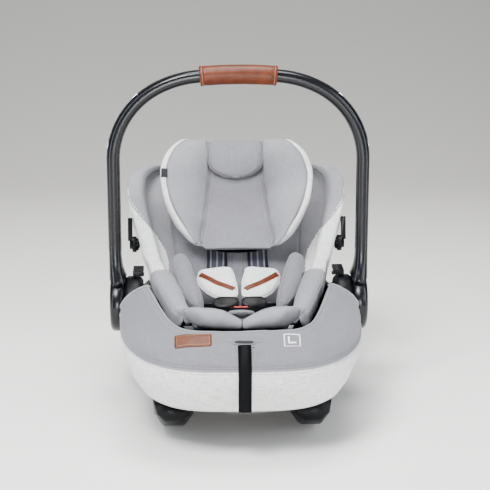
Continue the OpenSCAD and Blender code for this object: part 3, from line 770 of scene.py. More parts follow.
def cover(name, outer, inner, key, rep, seam_rows, fill):
    n = 260
    A = skirt(outer, n, 5)
    B = skirt(inner, n, 5)
    ka, kb = A.shape[1], B.shape[1]
    P = np.concatenate([A, B], 1)
    along = arc_len(A, 0)
    across = arc_len(A, 1)
    tot = across[:, -1:]
    N = normals(A, False)
    if np.sum(N * (A - np.array([0, -100, 60]))) < 0:
        N = -N
    edge = np.minimum(across, tot - across)
    w = 0.9 * vn(A, 46, 1) + 0.5 * vn(A * np.array([1, 1, 2.2]), 19, 2) + 0.18 * vn(A, 7, 3)
    w *= np.clip(edge / 9, 0, 1)
    # soft radial drag lines near the lower corners
    w += 0.55 * np.sin(along / 6.3 + 2.2 * vn(A, 30, 5)) * np.clip(vn(A, 55, 6), 0, 1) * np.clip(edge / 14, 0, 1)
    for d0, amp in seam_rows:
        dist = across - d0 if d0 >= 0 else across - tot - d0
        w += seam_groove(dist, amp, 1.5, amp * 0.4, 7) + pucker(along, dist, 0.22 * amp, 6.0, 7)
    # rounded hems
    w -= 1.6 * np.exp(-edge / 1.6)
    P[:, :ka] = A + N * w[..., None]
    o = grid(name, domed(P, 3.0, 3, channel_mid), key)
    place(o, "carrier", key, rep, fill)
    return o, P[:, :ka], N, along, across, tot


cu, AU, NU, alU, acU, ttU = cover("cover_upper_cloth", UP, UPI, "grey", ("side_cover_upper",), [(5.0, 0.9), (-18.0, 0.7)], 0.55)
cl, AL, NL, alL, acL, ttL = cover("cover_lower_cloth", LO, LOI, "white", ("side_cover_lower",), [(-4.0, 0.8)], 0.5)


def col(A, N, across, d, step=1):
    """Line on a cover at distance d from its first edge (or the last, if negative)."""
    pts, nor = [], []
    for i in range(0, len(A), step):
        x = d if d >= 0 else across[i, -1] + d
        pts.append([np.interp(x, across[i], A[i, :, c]) for c in range(3)])
        nor.append([np.interp(x, across[i], N[i, :, c]) for c in range(3)])
    return pts, nor


def lifted(line, h):
    return [np.array(p) + np.array(n) * h for p, n in zip(*line)]


# piping along the colour seam, round the mouth and up the rear edges of the cover
seam = col(AU, NU, acU, 0.6, 3)
tube("cover_seam_piping", lifted(seam, 0.1), 1.25, "light", "carrier", 8)
mouth = col(AU, NU, acU, -9.0, 3)
tube("cover_mouth_piping", lifted(mouth, 0.5), 1.7, "light", "carrier", 8)
hem = col(AL, NL, acL, 3.0, 3)
for s_, A_, N_ in ((0, AU, NU), (-1, AU, NU)):
    edge_line = [A_[s_, j] + N_[s_, j] * 0.4 for j in range(2, A_.shape[1] - 2, 2)]
    tube("cover_edge_piping_" + ("left" if s_ == 0 else "right"), edge_line, 2.0, "light", "carrier", 8)
for s_ in (0, -1):
    edge_line = [AL[s_, j] + NL[s_, j] * 0.3 for j in range(1, AL.shape[1] - 1, 2)]
    tube("lower_edge_piping_" + ("left" if s_ == 0 else "right"), edge_line, 1.8, "white", "carrier", 8)
stitches("cover_topstitch", [col(AU, NU, acU, 5.0), col(AU, NU, acU, -18.0), col(AU, NU, acU, -14.6)], "thread", "carrier", 4.6, 3.1, 0.36)
stitches("cover_lower_topstitch", [col(AL, NL, acL, -4.0), col(AL, NL, acL, 6.0)], "thread", "carrier", 4.6, 3.1, 0.36)
for i_ in (6, 254):
    ln = [AU[i_, j] for j in range(3, AU.shape[1] - 3)]
    nn = [NU[i_, j] for j in range(3, AU.shape[1] - 3)]
    stitches("cover_edge_stitch_" + ("left" if i_ < 9 else "right"), [(ln, nn)], "thread", "carrier", 4.6, 3.1, 0.36)

cover_bvh = bvh_of([cu])
DOWN = np.array([0, 0.25, -1.0])
DOWN = DOWN / np.linalg.norm(DOWN)


def pad2d(x0, x1, y0, y1, m, n, corner=3.0, z=260.0):
    out = np.zeros((m, n, 3))
    for i in range(m):
        for j in range(n):
            a, b = i / (m - 1) * 2 - 1, j / (n - 1) * 2 - 1
            hw, hh = (x1 - x0) / 2, (y1 - y0) / 2
            x, y = b * hw, a * hh
            cx, cy = hw - corner, hh - corner
            if abs(x) > cx and abs(y) > cy:
                dx, dy = abs(x) - cx, abs(y) - cy
                m_ = max(dx, dy)
                q = math.hypot(dx, dy)
                if q > 1e-9:
                    x = math.copysign(cx + dx / q * m_, x)
                    y = math.copysign(cy + dy / q * m_, y)
            yy = (y0 + y1) / 2 + y
            out[i, j] = [(x0 + x1) / 2 + x, yy - 0.25 * 60, z]
    return out


# leather label, plain, with a stitched border
lab, LT = patch("leather_label_patch", cover_bvh, pad2d(-107, -50, -292, -264, 15, 33), DOWN, "leather", "carrier", 0.15, 1.3, replaces=("leather_label",))
loop = [LT[2, j] for j in range(2, 31)] + [LT[i, 30] for i in range(3, 13)] + [LT[12, j] for j in range(29, 1, -1)] + [LT[i, 2] for i in range(11, 1, -1)]
stitches("label_stitches", [(loop, [[0, -0.4, 0.9]] * len(loop))], "tanthread", "carrier", 3.4, 2.3, 0.32, 0.1)
# generic printed pictogram: an outlined square with a plain seat shape
sym = [[(62, -293), (86, -293), (86, -268), (62, -268), (62, -293)], [(69, -273), (69, -286), (80, -286)]]
for q, ln in enumerate(sym):
    pts = []
    for (xa, ya), (xb, yb) in zip(ln, ln[1:]):
        for t in np.linspace(0, 1, 9)[:-1]:
            pts.append((xa + (xb - xa) * t, ya + (yb - ya) * t))
    pts.append(ln[-1])
    ps = []
    for x, y in pts:
        p, nn = hit(cover_bvh, (x, y - 15, 260), DOWN)
        ps.append(p + nn * 0.25)
    tube("printed_mark_" + "ab"[q], ps, 0.95 if q == 0 else 1.7, "print", "carrier", 6, 0.35, False, 1)

# strap slot: bound opening, with painted shade inside it
slot_pts = []
for a in range(0, 360, 12):
    x, y = sup(16.0, 4.6, 3.5, a)
    p, nn = hit(cover_bvh, (x, -284.8 + y - 15, 260), DOWN)
    slot_pts.append(p + nn * 0.5)
tube("strap_slot_binding", slot_pts, 1.5, "grey", "carrier", 8, 1.0, True, 2)
# painted shade: a dark patch on the unbroken cover stands in for the shaded inside of the opening
thr, _ = patch("strap_slot_throat", cover_bvh, pad2d(-14.5, 14.5, -288, -281, 7, 17, 2), DOWN, "dark", "carrier", 0.0, 0.35)
for sgn in (-1, 1):
    fold = []
    for t in np.linspace(0, 1, 7):
        p, nn = hit(cover_bvh, (sgn * (20 + 16 * t), -284 + 3 * math.sin(t * 3) - 15 - 4 * t, 260), DOWN)
        fold.append(p + nn * (-0.5 - 0.7 * t))
    tube("slot_fold_" + ("left" if sgn < 0 else "right"), fold, 1.5, "grey", "carrier", 8)

# ------------------------------------------------------------- adjuster strap
TAIL = [[-282, 176], [-285.4, 179], [-288.4, 183.4], [-292, 185.8], [-297, 183.4], [-302.4, 179.6], [-308, 174.6], [-313.4, 169], [-318.4, 162], [-321.6, 155], [-322.6, 147], [-322.9, 138], [-322.9, 127], [-322.9, 116], [-322.9, 105], [-322.9, 96], [-322.9, 88]]
tl = np.array([[0, a, b] for a, b in TAIL], float)
tl = dense(tl, 4, 0)
# it lies clear of the cover, whose seam bulges a little
for i, p in enumerate(tl):
    for zz in (0.0,):
        loc, nn = hit(cover_bvh, (0, -400, p[2]), (0, 1, 0))
        if loc is not None and i > 20 and p[1] > loc[1] - 1.6:
            tl[i, 1] = loc[1] - 1.6
rows = []
T = np.gradient(tl, axis=0)
for i, p in enumerate(tl):
    t = unit(T[i])
    nrm = np.array([0, t[2], -t[1]])
    tw = 0.06 * math.sin(i / 9.0)
    e = np.array([math.cos(tw), 0, 0]) + nrm * math.sin(tw)
    rows.append(ring(p, e, nrm, 10.2, 0.9, 5, 20))
st_ = grid("adjuster_webbing", np.array(rows), "webk")
place(st_, "carrier", "webk", ("adjuster_strap",))
LEN = float(np.sum(np.linalg.norm(np.diff(tl, axis=0), axis=1))) * MM
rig.cord(st_, [float(c) * MM for c in tl[0]], LEN, 0.0204, "bare", "medium", "hanging", path=[[float(c) * MM for c in p] for p in tl])
edge_l = [(p + np.array([s * 7.6, -1.0, 0]), [0, -1, 0]) for s in (-1, 1) for p in tl[26:]]

smooth_copy("adjuster_button", "gloss", "adjuster_button", "adjuster_key")
smooth_copy("release_lever", "gloss", "release_lever", "release_grip")

# --------------------------------------------------------------- handle
C1R, C2R = 137.3, 177.3
A1, A2 = 61.3, 85.0
ARM = 220 - 21.4 / 2
c1 = np.array([ARM - C1R, 413.5])
c2 = c1 + np.array([math.cos(rad(A1)), math.sin(rad(A1))]) * (C1R - C2R)
R3 = C2R + c2[0] / math.cos(rad(A2))
c3 = np.array([0, c2[1] + math.sin(rad(A2)) * (C2R - R3)])
right = [(ARM, z, 0) for z in (190, 200, 212, 222, 232, 244, 258, 280, 310, 345, 380, 413.5)]
for c, r, a0, a1, n in ((c1, C1R, 0, A1, 24), (c2, C2R, A1, A2, 10), (c3, R3, A2, 90, 8)):
    right += [(c[0] + r * math.cos(rad(a0 + (a1 - a0) * i / n)), c[1] + r * math.sin(rad(a0 + (a1 - a0) * i / n)), a0 + (a1 - a0) * i / n) for i in range(1, n + 1)]
path = right + [(-x, z, 180 - a) for x, z, a in right[-2::-1]]
fl_y = lambda z: np.interp(z, [190, 212, 222, 232, 244, 258, 280, 320, 540], [36, 31, 25.5, 21.5, 18.6, 16.8, 15.6, 15, 13])
fl_i = lambda z: np.interp(z, [212, 222, 232, 244, 258], [9, 5, 2.4, .8, 0])


def bar_ring(s, g=0.0, n=40, p=2.7):
    o = np.array([math.cos(rad(s[2])), 0, math.sin(rad(s[2]))])
    f = fl_i(s[1]) / 2
    c = np.array([s[0], 0, s[1]]) - o * f
    return ring(c, o, np.array([0, 1.0, 0]), 10.7 + f + g, fl_y(s[1]) + g, p, n)


hb = smooth_copy("handle_bar", "handle", "handle", "handle_tube", 38)
# mould line along the inner and outer faces of the tube
for q, side in enumerate((0, 20)):
    ln = []
    for s in path[6:-6]:
        r = bar_ring(s, 0.0)
        ln.append(r[side] + np.array([0, 0, 0]))
    tube("handle_mould_line_" + "ab"[q], ln, 0.45, "handle", "handle", 6, 1.0, False, 1)

ga = math.degrees(math.asin(64 / R3))
P = []
prof = [(-1.0, 15.0), (-0.995, 16.2), (-0.985, 16.8), (-0.93, 16.9), (-0.905, 16.6), (-0.9, 15.75), (-0.88, 15.9)] + [(t, 16.1 + 0.25 * math.cos(t * 1.5)) for t in np.linspace(-0.85, 0.85, 60)] + \
       [(0.88, 15.9), (0.9, 15.75), (0.905, 16.6), (0.93, 16.9), (0.985, 16.8), (0.995, 16.2), (1.0, 15.0)]
for t, r in prof:
    a = 90 - ga * t
    v = np.array([math.cos(rad(a)), 0, math.sin(rad(a))])
    c = np.array([R3 * math.cos(rad(a)), 0, c3[1] + R3 * math.sin(rad(a))])
    P.append(ring(c, v, np.array([0, 1.0, 0]), r, r, 2.1, 48))
P = np.array(P)
W = 0.16 * vn(P, 14, 4) + 0.1 * vn(P, 5, 7)
W[:, 24] -= 0.7
W[:, 23] -= 0.3
W[:, 25] -= 0.3
P = displaced(P, W)
inner = []
for t in (1.0, 0.6, 0.2, -0.2, -0.6, -1.0):
    a = 90 - ga * t
    v = np.array([math.cos(rad(a)), 0, math.sin(rad(a))])
    c = np.array([R3 * math.cos(rad(a)), 0, c3[1] + R3 * math.sin(rad(a))])
    inner.append(ring(c, v, np.array([0, 1.0, 0]), 11.1, 13.4, 2.7, 48))
G = np.concatenate([P, np.array(inner), P[:1]], 0)
gr = place(grid("grip_leather", G, "leather", True, False), "handle", "leather", ("handle_grip",))
NR = outward(P)
lines = []
for t in (-0.955, 0.955):
    i = min(range(len(prof)), key=lambda q: abs(prof[q][0] - t))
    lines.append((list(P[i]) + [P[i][0]], list(NR[i]) + [NR[i][0]]))
stitches("grip_collar_stitches", lines, "tanthread", "handle", 3.4, 2.3, 0.32, 0.15)
lines = [([P[i, 24 + d] for i in range(7, 67)], [NR[i, 24 + d] for i in range(7, 67)]) for d in (-1, 1)]
stitches("grip_seam_stitches", lines, "tanthread", "handle", 4.0, 2.6, 0.32, 0.25)
for nme in ("left", "right"):
    smooth_copy("handle_trim_" + nme, "chrome", "handle")
    smooth_copy("handle_hub_" + nme, "handle", "handle", "hub_disc_" + nme)
    smooth_copy("handle_button_" + nme, "gloss", "handle_button_" + nme, "hub_key_" + nme)
    smooth_copy("lock_gear_" + nme, "steel", "handle_button_" + nme, "gear_" + nme)
    smooth_copy("canopy_hinge_" + nme, "shell", "canopy_hinge_" + nme, "canopy_post_" + nme)
# each return spring is its own piece and shortens as its button goes in
spring_src = smooth_copy("button_springs", "steel", "handle", "spring_left")
spring_two = spring_src.copy()
spring_two.data = spring_src.data.copy()
spring_two.name = "spring_right_vis"
bpy.context.scene.collection.objects.link(spring_two)
for o_, sg_ in ((spring_src, -1), (spring_two, 1)):
    bm = bmesh.new()
    bm.from_mesh(o_.data)
    bmesh.ops.delete(bm, geom=[v for v in bm.verts if v.co.x * sg_ < 0], context="VERTS")
    bm.to_mesh(o_.data)
    bm.free()
    xs_ = [abs(v.co.x) for v in o_.data.vertices]
    side_ = "left" if sg_ < 0 else "right"
    if sg_ > 0:
        place(o_, "handle", "steel", ("button_springs",))
    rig.squash(o_, "handle_button_" + side_ + "_press", (-sg_, 0, 0), (sg_ * min(xs_), 0, 0.166), (max(xs_) - min(xs_) - 0.00355) / (max(xs_) - min(xs_)))
# pivot bosses that carry the canopy brackets on the wings
for side_, sg_ in (("left", -1), ("right", 1)):
    tube("canopy_pivot_boss_" + side_, [(sg_ * x_, 84, 247) for x_ in (150, 156, 163, 170, 175.7)], 7.5, "shell", "seat", 28, 1.0, False, 1)
    tube("canopy_pivot_flange_" + side_, [(sg_ * x_, 84, 247) for x_ in (172.4, 173.0, 175.2, 175.8)], 11, "shell", "seat", 32, 1.0, False, 1)

# ------------------------------------------------------------------ seat
PAN = [[-207, 168, -206, 177, 80, 2.4], [-188, 152, -183, 187, 94, 2.6], [-150, 130, -146, 197, 110, 2.8], [-100, 108, -104, 202, 122, 3],
       [-50, 97, -64, 206, 132, 3.1], [-2, 96, -26, 210, 142, 3.2], [36, 114, 10, 216, 150, 3.2], [72, 148, 38, 224, 156, 3.1]]


def back_st(u, w, a, p):
    b, r = S(0, u, -95), S(0, u, w)
    return [b[1], b[2], r[1], r[2], a, p]


BACK = [back_st(*q) for q in ((0, -22, 162, 3), (30, -10, 171, 2.9), (60, 2, 180, 2.8), (90, 10, 187, 2.7), (120, 14, 191, 2.6), (150, 8, 190, 2.5), (178, -8, 181, 2.4), (200, -28, 167, 2.4), (218, -54, 146, 2.4))]
ALL = PAN + BACK


def sp(s, t, o, r):
    b = np.array(s[0:2])
    e = np.array(s[2:4]) - b
    h = np.linalg.norm(e)
    v = e / h
    q = sup(1, 1, s[5], t)
    d = o + (h - r - o) * (1 - abs(q[1]))
    return [(s[4] - o) * q[0], b[0] + v[0] * d, b[1] + v[1] * d]


ss_ = smooth_copy("seat_shell", "shell", "seat", angle=40)
for v in ss_.data.vertices:
    if v.co.y < -0.118 and abs(v.co.x) > 0.062 and v.co.z > 0.162:
        v.co.z = 0.162 + 0.25 * (v.co.z - 0.162)
smooth_copy("recline_pins", "shell", "seat", "pivot_pins")
fo = smooth_copy("foam_liners", "foam", "seat", "foam_blocks", 30, padded=0.9)
smooth_copy("harness_yoke", "steel", "seat", "yoke_plate")
smooth_copy("recline_lever", "gloss", "recline_lever", "recline_grip")
hb = smooth_copy("headrest_shell", "shell", "headrest", "headrest_back", 40)
for v in bpy.data.objects["headrest_back_vis"].data.vertices:
    hy, hz = v.co.y / MM - 40, v.co.z / MM - 247
    hu, hw_ = hy * BC + hz * BS_, hz * BC - hy * BS_
    lim = float(np.interp(hu, [14, 42], [-14, 26]))
    if hu < 42 and hw_ > lim:
        v.co.y = (40 + BC * hu - BS_ * lim) * MM
        v.co.z = (247 + BS_ * hu + BC * lim) * MM
smooth_copy("headrest_lever", "gloss", "headrest_lever", "headrest_grip")


def mirrored(P):
    Q = P.copy()
    Q[..., 0] *= -1
    return Q


def both_sides(build):
    for side in ("left", "right"):  # the left side first
        build(side, (lambda P: mirrored(P)) if side == "left" else (lambda P: P), -1 if side == "left" else 1)


WST = [list(np.array(PAN[6]) + (np.array(PAN[7]) - np.array(PAN[6])) * 0.16), PAN[7]] + BACK
# where the off-white panel of the left wing meets the grey one, on the front elevation
WING_SEAM = [(112, 178), (121, 181), (127, 192), (131, 203), (138, 213), (146, 222), (154, 232), (160, 241), (166, 251), (169, 260), (170, 275)]


def below_seam(P):
    Q = P.copy()
    Q[..., 0] = -np.abs(Q[..., 0])
    u, v = elevation_uv(Q)
    return v > np.interp(u, [a for a, b in WING_SEAM] + [171, 190], [b for a, b in WING_SEAM] + [300, 340])


def wing(side, fix, sg):
    prof = lambda s: [sp(s, k * 10, 0, 0) for k in range(5, -1, -1)] + [sp(s, 0, 10, -5.5), sp(s, 0, 23, -3.5), sp(s, 0, 28.4, 4.5), sp(s, 0, 28.2, 12.8), sp(s, 0, 10.8, 12.8)] + [sp(s, k * 10, 10.8, 13) for k in range(1, 6)]
    P = np.array([prof(s) for s in WST])
    P = dense(P, 12, 0)
    P = dense(P, 5, 1, True)
    # normals pointing out of the wing, and a soft uneven lift along them
    n = P.shape[1]
    al, ac = arc_len(P, 0), arc_len(P, 1)
    N = normals(P)
    if np.sum((N * (P - P.mean(axis=(0, 1))))[:, 5:20, 0]) < 0:
        N = -N
    w = 0.9 * vn(P, 38, 11 + sg) + 0.45 * vn(P, 14, 12) + 0.15 * vn(P, 6, 2) - 0.4
    Q = P + N * w[..., None]
    white = below_seam(Q)
    # the hidden return and the outside skin are off-white as well
    jj = np.arange(n)[None, :] * np.ones((len(P), 1))
    uu = (P[..., 1] - 40) * BC + (P[..., 2] - 247) * BS_
    white |= (jj < 26) & (uu < 120)
    grey = ~white
    # a soft groove where the two cloths meet
    b = np.abs(np.gradient(white.astype(float), axis=0)) + np.abs(np.gradient(white.astype(float), axis=1))
    Q = Q - N * (0.7 * np.clip(b, 0, 1))[..., None]
    P2 = fix(Q)
    o = grid("wing_cloth_" + side, P2, "white", True, True, ["white", "light"], grey[:-1, :].astype(int))
    place(o, "seat", "white", ("wing_cover_" + side,), 0.5)
    L = np.array([[sp(s, k * 10, 18.2, 15.4) for k in range(6)] + [sp(s, k * 10, 28.6 if k < 2 else 27, 13.2 if k == 0 else 16) for k in range(5, -1, -1)] for s in WST])
    L = dense(dense(L, 9, 0), 5, 1, True)
    NL_ = normals(L)
    if np.sum(NL_[:, 30:48, 0]) > 0:
        NL_ = -NL_
    w = 1.0 * vn(L, 30, 21) + 0.5 * vn(L, 11, 22)
    LQ = L + NL_ * w[..., None] * 0.8
    L2 = fix(LQ)
    lo = grid("wing_lining_" + side, L2, "grey", True, True, ["white", "light"], (~below_seam(LQ))[:-1, :].astype(int))
    place(lo, "seat", "grey", ("wing_liner_" + side,), 0.5)
    if side == "left":
        bv = bvh_of([o, lo])
        WING_LINE.clear()
        seamc = dense(np.array(WING_SEAM[1:], float), 6, 0)
        for u, v in seamc:
            p, nn = elevation_hit(bv, u, v)
            if p is not None and (not WING_LINE or np.linalg.norm(p - WING_LINE[-1][0]) < 16):
                WING_LINE.append((p, nn))
        LEFT_P[0] = (Q, N)
    if WING_LINE and side == "right" or side == "left":
        m = np.array([1, 1, 1]) if side == "left" else np.array([-1, 1, 1])
        pts = [(p + nn * 0.25) * m for p, nn in WING_LINE]
        tube("wing_panel_piping_" + side, pts[::2], 1.0, "light", "seat", 8)
        off = []
        for (p, nn), (q, _) in zip(WING_LINE, WING_LINE[1:] + WING_LINE[-1:]):
            t = q - p
            if np.linalg.norm(t) > 1e-6:
                off.append(((p + np.cross(nn, unit(t)) * 3.2) * m, nn * m))
        stitches("wing_panel_stitches_" + side, [([a for a, b_ in off], [b_ for a, b_ in off])], "thread", "seat", 4.4, 3.0, 0.34)
    # outer piping along the back of the edge, hidden from the front
    NF = fix(N)
    j0 = 22
    tube("wing_piping_outer_%s" % side, [P2[i, j0] + NF[i, j0] * 0.3 for i in range(0, len(P2), 4)], 1.2, "white", "seat", 8)


WING_LINE, LEFT_P = [], [None]
both_sides(wing)


def soft_loft(name, rings, key, body, rep, fill, cap=3.0, kx=8, seams=(), wr=1.0, seed=1, fix=None, pick=None, mats=None, top_flat=0.0):
    P = dense(np.array(rings, float), kx, 0)
    P = domed(P, cap, 4)
    n = P.shape[1]
    al, ac = arc_len(P, 0), arc_len(np.concatenate([P, P[:, :1]], 1), 1)
    N = outward(P)
    total = al[-1:, :]
    ends = np.clip(np.minimum(al, total - al) / 14, 0, 1)
    w = (0.9 * vn(P, 26, seed) + 0.5 * vn(P, 11, seed + 1) + 0.15 * vn(P, 5, seed + 2)) * wr * (0.35 + 0.65 * ends)
    lines = []
    for j0, amp in seams:
        j0 %= n
        d1 = np.abs(ac[:, :n] - ac[:, j0:j0 + 1])
        per = ac[:, -1:]
        dist = np.minimum(d1, per - d1)
        w = w + seam_groove(dist, amp, 1.5, amp * 0.35, 8) + pucker(al, dist, 0.3 * amp, 6.5, 8)
        lines.append(j0)
    Q = P + N * w[..., None]
    if fix is not None:
        Q = fix(Q)
        N = fix(N)
    o = grid(name, Q, key, True, True, mats, pick(Q) if pick else None)
    place(o, body, key, rep, fill)
    for q, j0 in enumerate(lines):
        i0, i1 = 5, len(Q) - 5
        for off in (-2, 2):
            jj = (j0 + off) % n
        stitches("%s_stitches_%d" % (name, q), [([Q[i, (j0 + 2) % n] for i in range(i0, i1)], [N[i, (j0 + 2) % n] for i in range(i0, i1)])], "thread", body, 4.4, 3.0, 0.32)
        tube("%s_piping_%d" % (name, q), [Q[i, j0] + N[i, j0] * 0.6 for i in range(i0, i1, 2)], 1.15, key, body, 8)
    return o, Q, N


def rolls(side, fix, sg):
    rings = []
    for i in range(2, 7):
        s = ALL[i]
        f = 28
        g = (0, 0, 1, 4, 8, 11, 12)[i]
        rings.append([sp(s, 0, 0, f), sp(s, 0, 0, 6), sp(s, 0, 7, -3), sp(s, 0, 18 + g * .5, -5.5), sp(s, 0, 27 + g, 2), sp(s, 0, 30 + g, 15), sp(s, 0, 25 + g * .5, 23), sp(s, 0, 19.5, 23), sp(s, 0, 19.5, 11), sp(s, 0, 10.4, 11), sp(s, 0, 10.4, f)])
    P = dense(dense(np.array(rings, float), 14, 0), 4, 1, True)
    P = domed(P, 3, 3)
    N = normals(P)
    if np.sum((N * (P - P.mean(axis=1, keepdims=True)))[:, 4:24]) < 0:
        N = -N
    al, ac = arc_len(P, 0), arc_len(P, 1)
    w = 0.9 * vn(P, 30, 31 + sg) + 0.5 * vn(P, 12, 32)
    # cross folds, as a rolled sleeve gathers round the bend
    w += 0.5 * np.sin(al / 5.5 + 3 * vn(P, 25, 8)) * np.clip(vn(P, 40, 9) + 0.2, 0, 1)
    for j0, amp in ((6, 1.1), (19, 0.9)):
        dist = ac - ac[:, j0:j0 + 1]
        w += seam_groove(dist, amp, 1.6, 0.35, 7) + pucker(al, dist, 0.32, 7, 8)
    Q = fix(P + N * w[..., None])
    NF = fix(N)
    o = grid("rim_roll_" + side, Q, "light")
    place(o, "seat", "light", ("side_roll_" + side,), 0.7)
    for tag, j0 in (("outer", 6), ("inner", 19)):
        tube("rim_roll_piping_%s_%s" % (tag, side), [Q[i, j0] + NF[i, j0] * 0.4 for i in range(3, len(Q) - 3, 2)], 1.2, "light", "seat", 8)
        stitches("rim_roll_stitches_%s_%s" % (tag, side), [([Q[i, j0 + 2] for i in range(3, len(Q) - 3)], [NF[i, j0 + 2] for i in range(3, len(Q) - 3)])], "thread", "seat", 4.4, 3.0, 0.32)


both_sides(rolls)

# back and seat cushions
rings = []
for u in (-92, -84, -40, 20, 80, 140, 190, 204, 210):
    a = np.interp(u, [-92, -84, 0, 120, 190, 204, 210], [80, 86, 106, 120, 108, 96, 88])
    b = np.interp(u, [-92, -84, 204, 210], [6, 9.5, 9.5, 6])
    rings.append(ring(S(0, u, -49.5), np.array([1.0, 0, 0]), HN, a, b, 4.5, 96))
soft_loft("back_cushion", rings, "grey", "seat", ("back_pad",), 0.6, 2.0, 8, [(12, 0.8), (36, 0.8)], 0.8, 41)
rings = []
for y, z, a in ((-18, 140, 70), (-28, 139, 78), (-70, 148, 80), (-120, 161, 79), (-148, 169, 75), (-164, 174, 70), (-170, 176, 62)):
    rings.append(ring([0, y, z], np.array([1.0, 0, 0]), unit([0, -.3, 1]), a, 5 if y in (-18, -170) else 9, 4, 96))
soft_loft("seat_cushion", rings, "grey", "seat", ("seat_pad",), 0.6, 2.0, 10, [(14, 0.8), (34, 0.8)], 0.8, 44)

INS = [[99, 24, 236, 5, 5], [98, 18, 232, 12, 15], [94, 2, 222, 15, 25], [88, -20, 209, 16, 30], [81, -50, 197, 16, 28], [74, -80, 189, 13, 22], [70, -100, 186, 5, 9]]
IE, IF = unit([.94, 0, -.34]), unit([.34, .45, .94])
FB = [[1.5, -195, 188, 8, 6], [10, -195, 190, 12, 9], [32, -194, 195.5, 16, 14], [58, -189, 197.5, 17, 15.5], [78, -181, 197.5, 14, 14], [91, -171, 197, 7, 8]]


def inserts(side, fix, sg):
    rings = [ring(q[:3], IE, IF, q[3], q[4], 2.2, 56) for q in INS]
    soft_loft("side_bolster_" + side, rings, "light" if False else "grey", "seat", ("side_insert_" + side,), 0.8, 1.5, 8, [(20, 1.2), (8, 0.7)], 1.0, 51 + sg, fix)
    rings = [ring(q[:3], unit([.45 if q[0] > 70 else 0, 1, .25]), np.array([0, -.24, .97]), q[3], q[4], 2.2, 56) for q in FB]
    soft_loft("front_roll_" + side, rings, "light", "seat", ("front_bolster_" + side,), 0.8, 1.0, 10, [(10, 1.0), (46, 0.8)], 0.9, 61 + sg, fix)


both_sides(inserts)

# ---------------------------------------------------------------- headrest
HW = [[14, 58, 2], [22, 80, 14], [44, 104, 30], [70, 120, 40], [104, 131, 44], [140, 133, 42], [176, 124, 34], [206, 108, 22], [226, 92, 8], [234, 78, 0]]


def hp(h, t, o, w0, p=2.6):
    q = sup(1, 1, p, t)
    return S((h[1] - o) * q[0], h[0], (h[2] - 2) + (w0 - (h[2] - 2)) * abs(q[1]))


def channel_rows(sts, o0, w0, o1, w1, lift, n=48):
    rows = []
    for h in sts:
        hh = [h[0], h[1], h[2] + lift]
        rows.append([hp(hh, k * 180 / n, o0, w0) for k in range(n + 1)] + [hp(hh, k * 180 / n, o1, w1) for k in range(n, -1, -1)])
    return np.array(rows)


HV = [[14, 78, 3], [24, 93, 16], [44, 110, 31], [70, 123, 40], [104, 131, 44], [140, 133, 42], [176, 126, 35], [206, 113, 24], [226, 101, 12], [235, 91, 3]]
HD = dense(np.array(HV, float), 8, 0)


def border_rows(sts, n=56):
    rows = []
    for h in sts:
        hh = [h[0], h[1], h[2] + 3]
        fl = float(np.interp(h[0], [14, 40], [-15, -34.6]))
        r = [hp(hh, k * 180 / n, 0, fl) for k in range(n + 1)]
        r.append(hp(hh, 180, 3.2, fl) + HN * 2.4)
        r.append(hp(hh, 180, 7.4, fl) + HN * 2.2)
        for k in range(n, -1, -1):
            t = k * 180 / n
            e = min(t, 180 - t)
            r.append(hp(hh, t, 5 + 6.2 * math.exp(-(e / 6.0) ** 2), fl + 2.2))
        r.append(hp(hh, 0, 7.4, -34.6) + HN * 2.2)
        r.append(hp(hh, 0, 3.2, -34.6) + HN * 2.4)
        rows.append(r)
    return np.array(rows)


Pb = border_rows(HD)
Nb = normals(Pb)
if np.sum((Nb * (Pb - S(0, 124, 10)))[:, 5:44]) < 0:
    Nb = -Nb
w = 0.8 * vn(Pb, 30, 71) + 0.45 * vn(Pb, 12, 72) + 0.18 * vn(Pb, 5, 73)
w *= 0.8
o = grid("headrest_border_cloth", Pb + Nb * w[..., None], "white")
place(o, "headrest", "white", ("headrest_border",), 0.4)
BQ = Pb + Nb * w[..., None]


def panel_x(u):
    return np.interp(u, [8, 30, 60, 150, 205, 235], [64, 61, 56, 46, 45, 47])


def cushion_front(h, n=90):
    """One section of the cushion's face: bolster, seam, panel, seam, bolster."""
    u, top = h[0], h[2] + 2.0
    a, xp = h[1] - 11.5, min(panel_x(h[0]), h[1] - 22)
    lo = float(np.interp(u, [14, 40, 200, 236], [-3, -7, -7, -3]))
    soft = float(np.interp(u, [14, 40, 190, 236], [0.35, 1, 1, 0.5]))
    flat = float(np.interp(u, [14, 75, 130, 175, 236], [0, 0, 0.4, 0.9, 0.9]))
    B = np.array([[a, top], [a - 2.5 - 9 * flat, top + 7.5 * soft], [xp + (0.30 - 0.20 * flat) * (a - xp), lo + (0.62 + 0.30 * flat) * (top - lo) + 7 * soft], [xp, lo]])
    m = int(n * 0.36)
    out = []
    for i in range(m + 1):
        t = i / m
        t = t ** 0.92
        q = (1 - t) ** 3 * B[0] + 3 * (1 - t) ** 2 * t * B[1] + 3 * (1 - t) * t * t * B[2] + t ** 3 * B[3]
        out.append(q)
    k = n - 2 * m
    for i in range(1, k):
        x = xp * (1 - 2 * i / k)
        out.append(np.array([x, lo + 1.8 * (1 - (x / xp) ** 2) ** 0.6]))
    out += [np.array([-q[0], q[1]]) for q in out[:m + 1][::-1]]
    lead = -8 * math.exp(-((u - 14) / 16.0) ** 2)
    return [S(q[0], u + lead, q[1]) for q in out[::-1]]


def cushion_rows(sts, n=90):
    rows = []
    for h in sts:
        hh = [h[0], h[1], h[2] + 3]
        hh[0] += 9 * math.exp(-((h[0] - 14) / 20.0) ** 2)
        rows.append([hp(hh, k * 180 / n, 10, -27) for k in range(n + 1)] + cushion_front(h, n))
    return np.array(rows)


